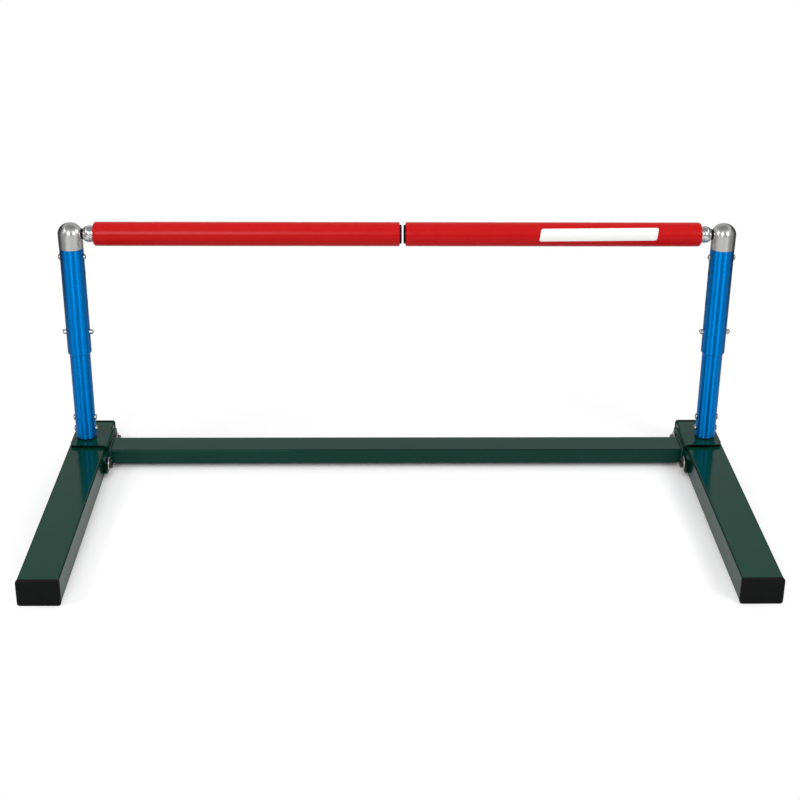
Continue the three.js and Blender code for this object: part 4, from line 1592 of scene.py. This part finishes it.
@dataclass
class BarHalf(SideAssembly):
    """A half of the padded bar: steel dome, foam sleeve, plug, and the works inside."""

    dome_radius: float = Upright.dome_radius
    mouth_radius: float = 4.5
    cavity_radius: float = 8.0
    dome_chords: int = 28
    cavity_chords: int = 14
    waist: float = 4.0
    body_end: float = 8.0
    shank_radius: float = 11.2
    shank_end: float = 33.0
    core_radius: float = 13.5
    sleeve_fit: float = 0.3
    sleeve_radius: float = 19.0
    sleeve_outer_end: float = 5.0
    sleeve_inner_length: float = 2.0
    sleeve_inner_depth: float = 4.0
    sleeve_ring: float = 4.0
    sleeve_step: int = 15
    dimple: float = 0.22
    dimple_width: float = 11.0
    dimple_dimension: float = 0.8
    dimple_lacunarity: float = 2.0
    dimple_octaves: int = 2
    bore_margin: float = 1.0
    plug_radius: float = 15.0
    plug_flange: float = 2.8
    plug_edge: float = 1.1
    plug_shank: float = 22.0
    plug_recess: float = 8.0
    plug_web: float = 0.2
    plug_dimple: float = 2.6

    def reach(self, node: str) -> tuple[float, float]:
        """Gives where a CAD node of this half starts and ends, from the pivot.

        Args:
            node: The CAD node's name without its side.

        Returns:
            The two distances along the bar.
        """
        low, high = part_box(self.node(node))
        ends = [self.pivot_distance() + self.side.value * -x / MM for x in (low.x, high.x)]
        return min(ends), max(ends)

    def pivot_distance(self) -> float:
        """Gives how far the pivot is from the middle of the hurdle.

        Returns:
            The distance along the bar.
        """
        low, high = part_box(self.node("bar_fitting"))
        tip = high.x if self.side is Side.RIGHT else -low.x
        back = math.sqrt(self.dome_radius ** 2 - self.mouth_radius ** 2)
        return tip / MM - back

    def fitting(self) -> Blank:
        """Draws the dome, its waist, and the shank that fits in the core.

        Returns:
            The piece on Z, from its pivot.
        """
        mouth = math.degrees(math.asin(self.mouth_radius / self.dome_radius)) - 90
        past = math.degrees(math.asin(self.waist / self.dome_radius))
        waist_radius = math.sqrt(self.dome_radius ** 2 - self.waist ** 2)
        inner = math.degrees(math.asin(self.mouth_radius / self.cavity_radius)) - 90
        return Blank.turned([
            *arc(self.dome_radius, mouth, past, self.dome_chords),
            (waist_radius, self.body_end), (self.shank_radius, self.body_end),
            (self.shank_radius, self.shank_end), (self.cavity_radius, self.shank_end),
            *arc(self.cavity_radius, 0, inner, self.cavity_chords),
        ])

    def sleeve(self) -> Blank:
        """Draws the foam sleeve: a rounded outer end, a cut inner end and a dimpled skin.

        Returns:
            The sleeve on Z, from its pivot.
        """
        start, end = self.reach("bar_sleeve")
        bore, full = self.core_radius + self.sleeve_fit, self.sleeve_radius
        outer, drop = self.sleeve_outer_end, self.sleeve_inner_depth
        angles = [math.radians(degrees) for degrees in range(0, 91, self.sleeve_step)]
        first = [
            (full - outer * (1 - math.sin(a)), start + outer * (1 - math.cos(a))) for a in angles
        ]
        last = [
            (full - drop * (1 - math.cos(a)), end - self.sleeve_inner_length * (1 - math.sin(a)))
            for a in angles
        ]
        length = last[0][1] - first[-1][1]
        count = round(length / self.sleeve_ring)
        rings = [(full, first[-1][1] + length * i / count) for i in range(1, count)]
        blank = Blank.turned([(bore, start), *first, *rings, *last, (bore, end)], Facets.FINE)
        for vert in blank.bm.verts:
            around = Vector((vert.co.x, vert.co.y, 0))
            if around.length > (bore + self.bore_margin) * MM:
                sink = noise.fractal(
                    vert.co / (self.dimple_width * MM), self.dimple_dimension,
                    self.dimple_lacunarity, self.dimple_octaves,
                )
                vert.co += around.normalized() * (min(sink, 0.0) * self.dimple * MM)
        return blank

    def plug(self) -> Blank:
        """Draws the plug at the split, with a dimple in the middle of its face.

        Returns:
            The plug on Z, from the pivot.
        """
        _, end = self.reach("bar_plug")
        start, edge = end - self.plug_flange, end - self.plug_edge
        tail, web = start - self.plug_shank, start - self.plug_web
        return Blank.turned([
            (0, edge), (self.plug_dimple, edge), (self.plug_dimple, end),
            (self.plug_radius - self.plug_edge, end), (self.plug_radius, edge),
            (self.plug_radius, start), (self.shank_radius, start), (self.shank_radius, tail),
            (self.plug_recess, tail), (self.plug_recess, web), (0, web),
        ], Facets.FINER)

    def build(self) -> list[bpy.types.Object]:
        """Makes this half of the bar and dresses what is inside it.

        Returns:
            The pieces.
        """
        bar = self.node("bar")
        axis = self.place("bar_core")
        seat = self.side.seat(self.pivot_distance(), axis.y, axis.z) @ Lay.ALONG_X.value
        parts = [
            ("bar_fitting", self.fitting(), POLISHED_DOME_STEEL, "bright_steel"),
            ("bar_sleeve", self.sleeve(), RED_FOAM_SKIN, "red_foam"),
            ("bar_plug", self.plug(), BLACK_MOULDED_PLASTIC, "black_plastic"),
        ]
        made = []
        for name, blank, finish, slot in parts:
            piece = blank.placed(seat).finished(self.node(name), finish, bar, slot)
            made.append(piece)
        inside = {
            "bar_core": MILL_ALUMINIUM, "return_spring": ROLLED_SPRING_STEEL,
            "spring_pin": BRIGHT_ZINC_PLATE, "swivel": BRIGHT_ZINC_PLATE, "tether": WIRE_ROPE,
        }
        return made + [dressed(self.node(name), finish) for name, finish in inside.items()]


@dataclass
class NameStrip(SubAssembly):
    """The white film on the right sleeve, left bare: a slanted strip with round corners."""

    length: float = 184.8
    height: float = 20.6
    corner: float = 3.2
    slant: float = 3.2
    thickness: float = 0.18
    lift: float = 0.02
    middle_x: float = 315.1
    middle_angle: float = 16.5
    tilt: float = 0.6
    slices: int = 22
    radius: float = BarHalf.sleeve_radius

    def strip(self) -> Blank:
        """Draws the strip flat, slants it, and wraps it round the sleeve.

        Returns:
            The strip, at its place.
        """
        blank = Blank.plate(self.length, self.height, self.corner)
        for i in range(1, self.slices):
            level = (i / self.slices - 0.5) * self.height * MM
            everything = blank.bm.verts[:] + blank.bm.edges[:] + blank.bm.faces[:]
            bmesh.ops.bisect_plane(
                blank.bm, geom=everything, dist=MERGE, plane_co=(0, level, 0), plane_no=(0, 1, 0)
            )
        shear = Matrix.Identity(4)
        shear[0][1] = self.slant / self.height
        shear[1][0] = math.sin(math.radians(self.tilt))
        blank.placed(shear).raised(self.thickness)
        bar = middle("right_bar_core")
        for vert in blank.bm.verts:
            around = math.radians(self.middle_angle) + vert.co.y / (self.radius * MM)
            out = self.radius * MM + self.lift * MM + vert.co.z
            vert.co = Vector((vert.co.x, -out * math.cos(around), out * math.sin(around)))
        blank.shifted(self.middle_x, bar.y, bar.z)
        return blank.cleaned()

    def build(self) -> list[bpy.types.Object]:
        """Makes the strip.

        Returns:
            The one piece.
        """
        return [self.strip().made("right_name_strip", WHITE_VINYL_FILM, "right_bar")]


# The room

WHITE = linear("#FFFFFF")


@dataclass
class Lamp:
    """A soft square lamp, placed by its angles as the camera sees the hurdle."""

    name: str
    azimuth: float
    elevation: float
    watts: float
    size: float = 1.05
    distance: float = 3.4
    mirrored: bool = True
    aim: tuple[float, float, float] = (0.0, 0.15, 0.25)

    def hang(self) -> bpy.types.Object:
        """Hangs the lamp and points it.

        Returns:
            The lamp.
        """
        light = bpy.data.lights.new(self.name, "AREA")
        light.energy, light.size = self.watts, self.size
        lamp = shown(self.name, light)
        a, e = math.radians(self.azimuth), math.radians(self.elevation)
        away = Vector((math.sin(a) * math.cos(e), -math.cos(a) * math.cos(e), math.sin(e)))
        lamp.location = Vector(self.aim) + away * self.distance
        lamp.rotation_euler = (-away).to_track_quat("-Z", "Y").to_euler()
        lamp.visible_camera = False
        lamp.visible_glossy = self.mirrored
        return lamp


@dataclass
class Flag:
    """A dark card that only reflections see, as a photographer stands beside shiny things."""

    name: str
    size: tuple[float, float]
    place: tuple[float, float, float]
    turn: tuple[float, float, float]
    shade: str

    def stand(self) -> bpy.types.Object:
        """Stands the card up.

        Returns:
            The card.
        """
        card = lay_sheet(self.name, *self.size)
        card.location = self.place
        card.rotation_euler = [math.radians(angle) for angle in self.turn]
        card.visible_camera = card.visible_diffuse = card.visible_shadow = False
        material = bpy.data.materials.new(self.name)
        tree = emptied_tree(material)
        dark = add_node(tree, "ShaderNodeEmission", {"Color": linear(self.shade)})
        add_node(tree, "ShaderNodeOutputMaterial", {"Surface": dark.outputs[0]})
        card.data.materials.append(material)
        return card


def lay_sheet(name: str, width: float, depth: float) -> bpy.types.Object:
    """Makes a flat sheet, level at the origin.

    Args:
        name: Its name.
        width: Its size along X, in metres.
        depth: Its size along Y.

    Returns:
        The sheet.
    """
    bm = bmesh.new()
    draw_rectangle(bm, width, depth)
    mesh = bpy.data.meshes.new(name)
    bm.to_mesh(mesh)
    return shown(name, mesh)


@dataclass
class Studio:
    """A plain white room: floor, background, soft lamps and the camera."""

    floor_size: float = 12.0
    floor_tone: float = 0.64
    floor_seen_tone: float = 1.05
    floor_stretch: tuple[float, float, float] = (1.35, 1.2, 1.0)
    daylight: float = 0.44
    camera_place: tuple[float, float, float] = (-43.21, -2179.85, 1174.02)
    pitch: float = 24.12
    yaw: float = 1.16
    roll: float = 0.43
    focal_pixels: float = 1576.08
    frame_pixels: float = 800.0
    sensor: float = 36.0
    seen_to: float = 50.0
    floor_fades: dict[str, tuple[float, float]] = field(default_factory=lambda: {
        "Is Camera Ray": (0.66, 0.82), "Is Glossy Ray": (0.9, 1.4),
    })
    lamps: list[Lamp] = field(default_factory=lambda: [
        Lamp("far_left_lamp", -66, 31, 17.0),
        Lamp("left_lamp", -16, 28, 28.0),
        Lamp("right_lamp", 40, 28, 25.0),
        Lamp("far_right_lamp", 84, 31, 16.0),
        Lamp("top_lamp", 0, 90, 14.0, size=2.0, distance=1.8, mirrored=False),
    ])
    flags: list[Flag] = field(default_factory=lambda: [
        Flag("left_flag", (0.9, 1.74), (-1.05, 1.03, 0.45), (0, 90, 0), "#4C4C4C"),
        Flag("right_flag", (0.9, 1.74), (1.05, 1.03, 0.45), (0, 90, 0), "#4C4C4C"),
        Flag("left_near_flag", (0.9, 0.66), (-1.05, -0.17, 0.45), (0, 90, 0), "#9C9C9C"),
        Flag("right_near_flag", (0.9, 0.66), (1.05, -0.17, 0.45), (0, 90, 0), "#9C9C9C"),
        Flag("rear_flag", (2.1, 0.18), (0, 0.75, 0.09), (90, 0, 0), "#404040"),
        Flag("back_flag", (6.0, 2.4), (0, 2.2, 1.2), (90, 0, 0), "#C2C2C2"),
        Flag("top_flag", (4.0, 3.0), (0, 0.3, 2.4), (0, 0, 0), "#949494"),
        Flag("front_flag", (12.0, 4.0), (0, -4.2, 2.0), (90, 0, 0), "#A0A0A0"),
    ])

    def set_world(self) -> None:
        """Lights evenly from all round, and shows white to the camera and in reflections."""
        world = bpy.data.worlds.new("room")
        bpy.context.scene.world = world
        tree = emptied_tree(world)
        path = add_node(tree, "ShaderNodeLightPath").outputs
        seen = path["Is Camera Ray"]
        for ray in ("Is Glossy Ray", "Is Transmission Ray"):
            either = add_node(tree, "ShaderNodeMath", {0: seen, 1: path[ray]}, operation="MAXIMUM")
            seen = either.outputs["Value"]
        light, white = (
            add_node(tree, "ShaderNodeBackground", {"Color": WHITE, "Strength": strength})
            for strength in (self.daylight, 1.0)
        )
        mixed = add_node(tree, "ShaderNodeMixShader", {
            0: seen, 1: light.outputs[0], 2: white.outputs[0],
        })
        add_node(tree, "ShaderNodeOutputWorld", {"Surface": mixed.outputs[0]})

    def lay_floor(self) -> bpy.types.Object:
        """Lays a pale matt floor that keeps the hurdle's shadow, and fades to plain white.

        Returns:
            The floor.
        """
        floor = lay_sheet("floor", self.floor_size, self.floor_size)
        material = bpy.data.materials.new("white_floor")
        tree = emptied_tree(material)
        path = add_node(tree, "ShaderNodeLightPath").outputs
        tone = add_node(tree, "ShaderNodeMapRange", {
            "Value": path["Is Camera Ray"],
            "To Min": self.floor_tone, "To Max": self.floor_seen_tone,
        })
        place = add_node(tree, "ShaderNodeTexCoord").outputs["Object"]
        oval = add_node(tree, "ShaderNodeVectorMath", {
            0: place, 1: self.floor_stretch,
        }, operation="MULTIPLY")
        away = add_node(
            tree, "ShaderNodeVectorMath", {0: oval.outputs["Vector"]}, operation="LENGTH"
        )
        shares = []
        for ray, (start, end) in self.floor_fades.items():
            fade = add_node(tree, "ShaderNodeMapRange", {
                "Value": away.outputs["Value"], "From Min": start, "From Max": end,
            })
            shares.append(add_node(tree, "ShaderNodeMath", {
                0: path[ray], 1: fade.outputs["Result"],
            }, operation="MULTIPLY").outputs["Value"])
        share = add_node(tree, "ShaderNodeMath", {0: shares[0], 1: shares[1]}, operation="ADD")
        matt = add_node(tree, "ShaderNodeBsdfDiffuse", {"Color": tone.outputs["Result"]})
        white = add_node(tree, "ShaderNodeEmission", {"Color": WHITE, "Strength": 1.0})
        mixed = add_node(tree, "ShaderNodeMixShader", {
            0: share.outputs["Value"], 1: matt.outputs[0], 2: white.outputs[0],
        })
        add_node(tree, "ShaderNodeOutputMaterial", {"Surface": mixed.outputs[0]})
        floor.data.materials.append(material)
        return floor

    def set_camera(self) -> bpy.types.Object:
        """Stands the camera where the photograph was taken from.

        Returns:
            The camera.
        """
        data = bpy.data.cameras.new("camera")
        data.sensor_width = self.sensor
        data.lens = self.focal_pixels / self.frame_pixels * self.sensor
        data.clip_end = self.seen_to
        p, w, t = (math.radians(v) for v in (self.pitch, self.yaw, self.roll))
        ahead = Vector((math.sin(w) * math.cos(p), math.cos(w) * math.cos(p), -math.sin(p)))
        level = Vector((math.cos(w), -math.sin(w), 0))
        up = level.cross(ahead)
        right = math.cos(t) * level + math.sin(t) * up
        top = math.cos(t) * up - math.sin(t) * level
        camera = shown("camera", data)
        turn = Matrix((right, top, -ahead)).transposed().to_4x4()
        camera.matrix_world = Matrix.Translation(Vector(self.camera_place) * MM) @ turn
        bpy.context.scene.camera = camera
        return camera

    def build(self) -> None:
        """Sets the room up."""
        bpy.context.scene.view_settings.view_transform = "Standard"
        self.set_camera()
        self.set_world()
        self.lay_floor()
        for lamp in self.lamps:
            lamp.hang()
        for flag in self.flags:
            flag.stand()


def main() -> None:
    """Builds the room and the hurdle, and reports each piece."""
    logging.basicConfig(level=logging.INFO, format="%(message)s")
    Studio().build()
    assemblies: list[SubAssembly] = [Crossbar()]
    for side in Side:
        assemblies += [Leg(side), Fasteners(side), Upright(side), PostHardware(side)]
        assemblies += [SpringClip(side), BarHalf(side)]
    assemblies.append(NameStrip())
    for assembly in assemblies:
        for piece in assembly.build():
            kind = type(assembly).__name__
            LOG.info("%s: %s, %d faces", kind, piece.name, len(piece.data.polygons))


if __name__ == "__main__":
    main()
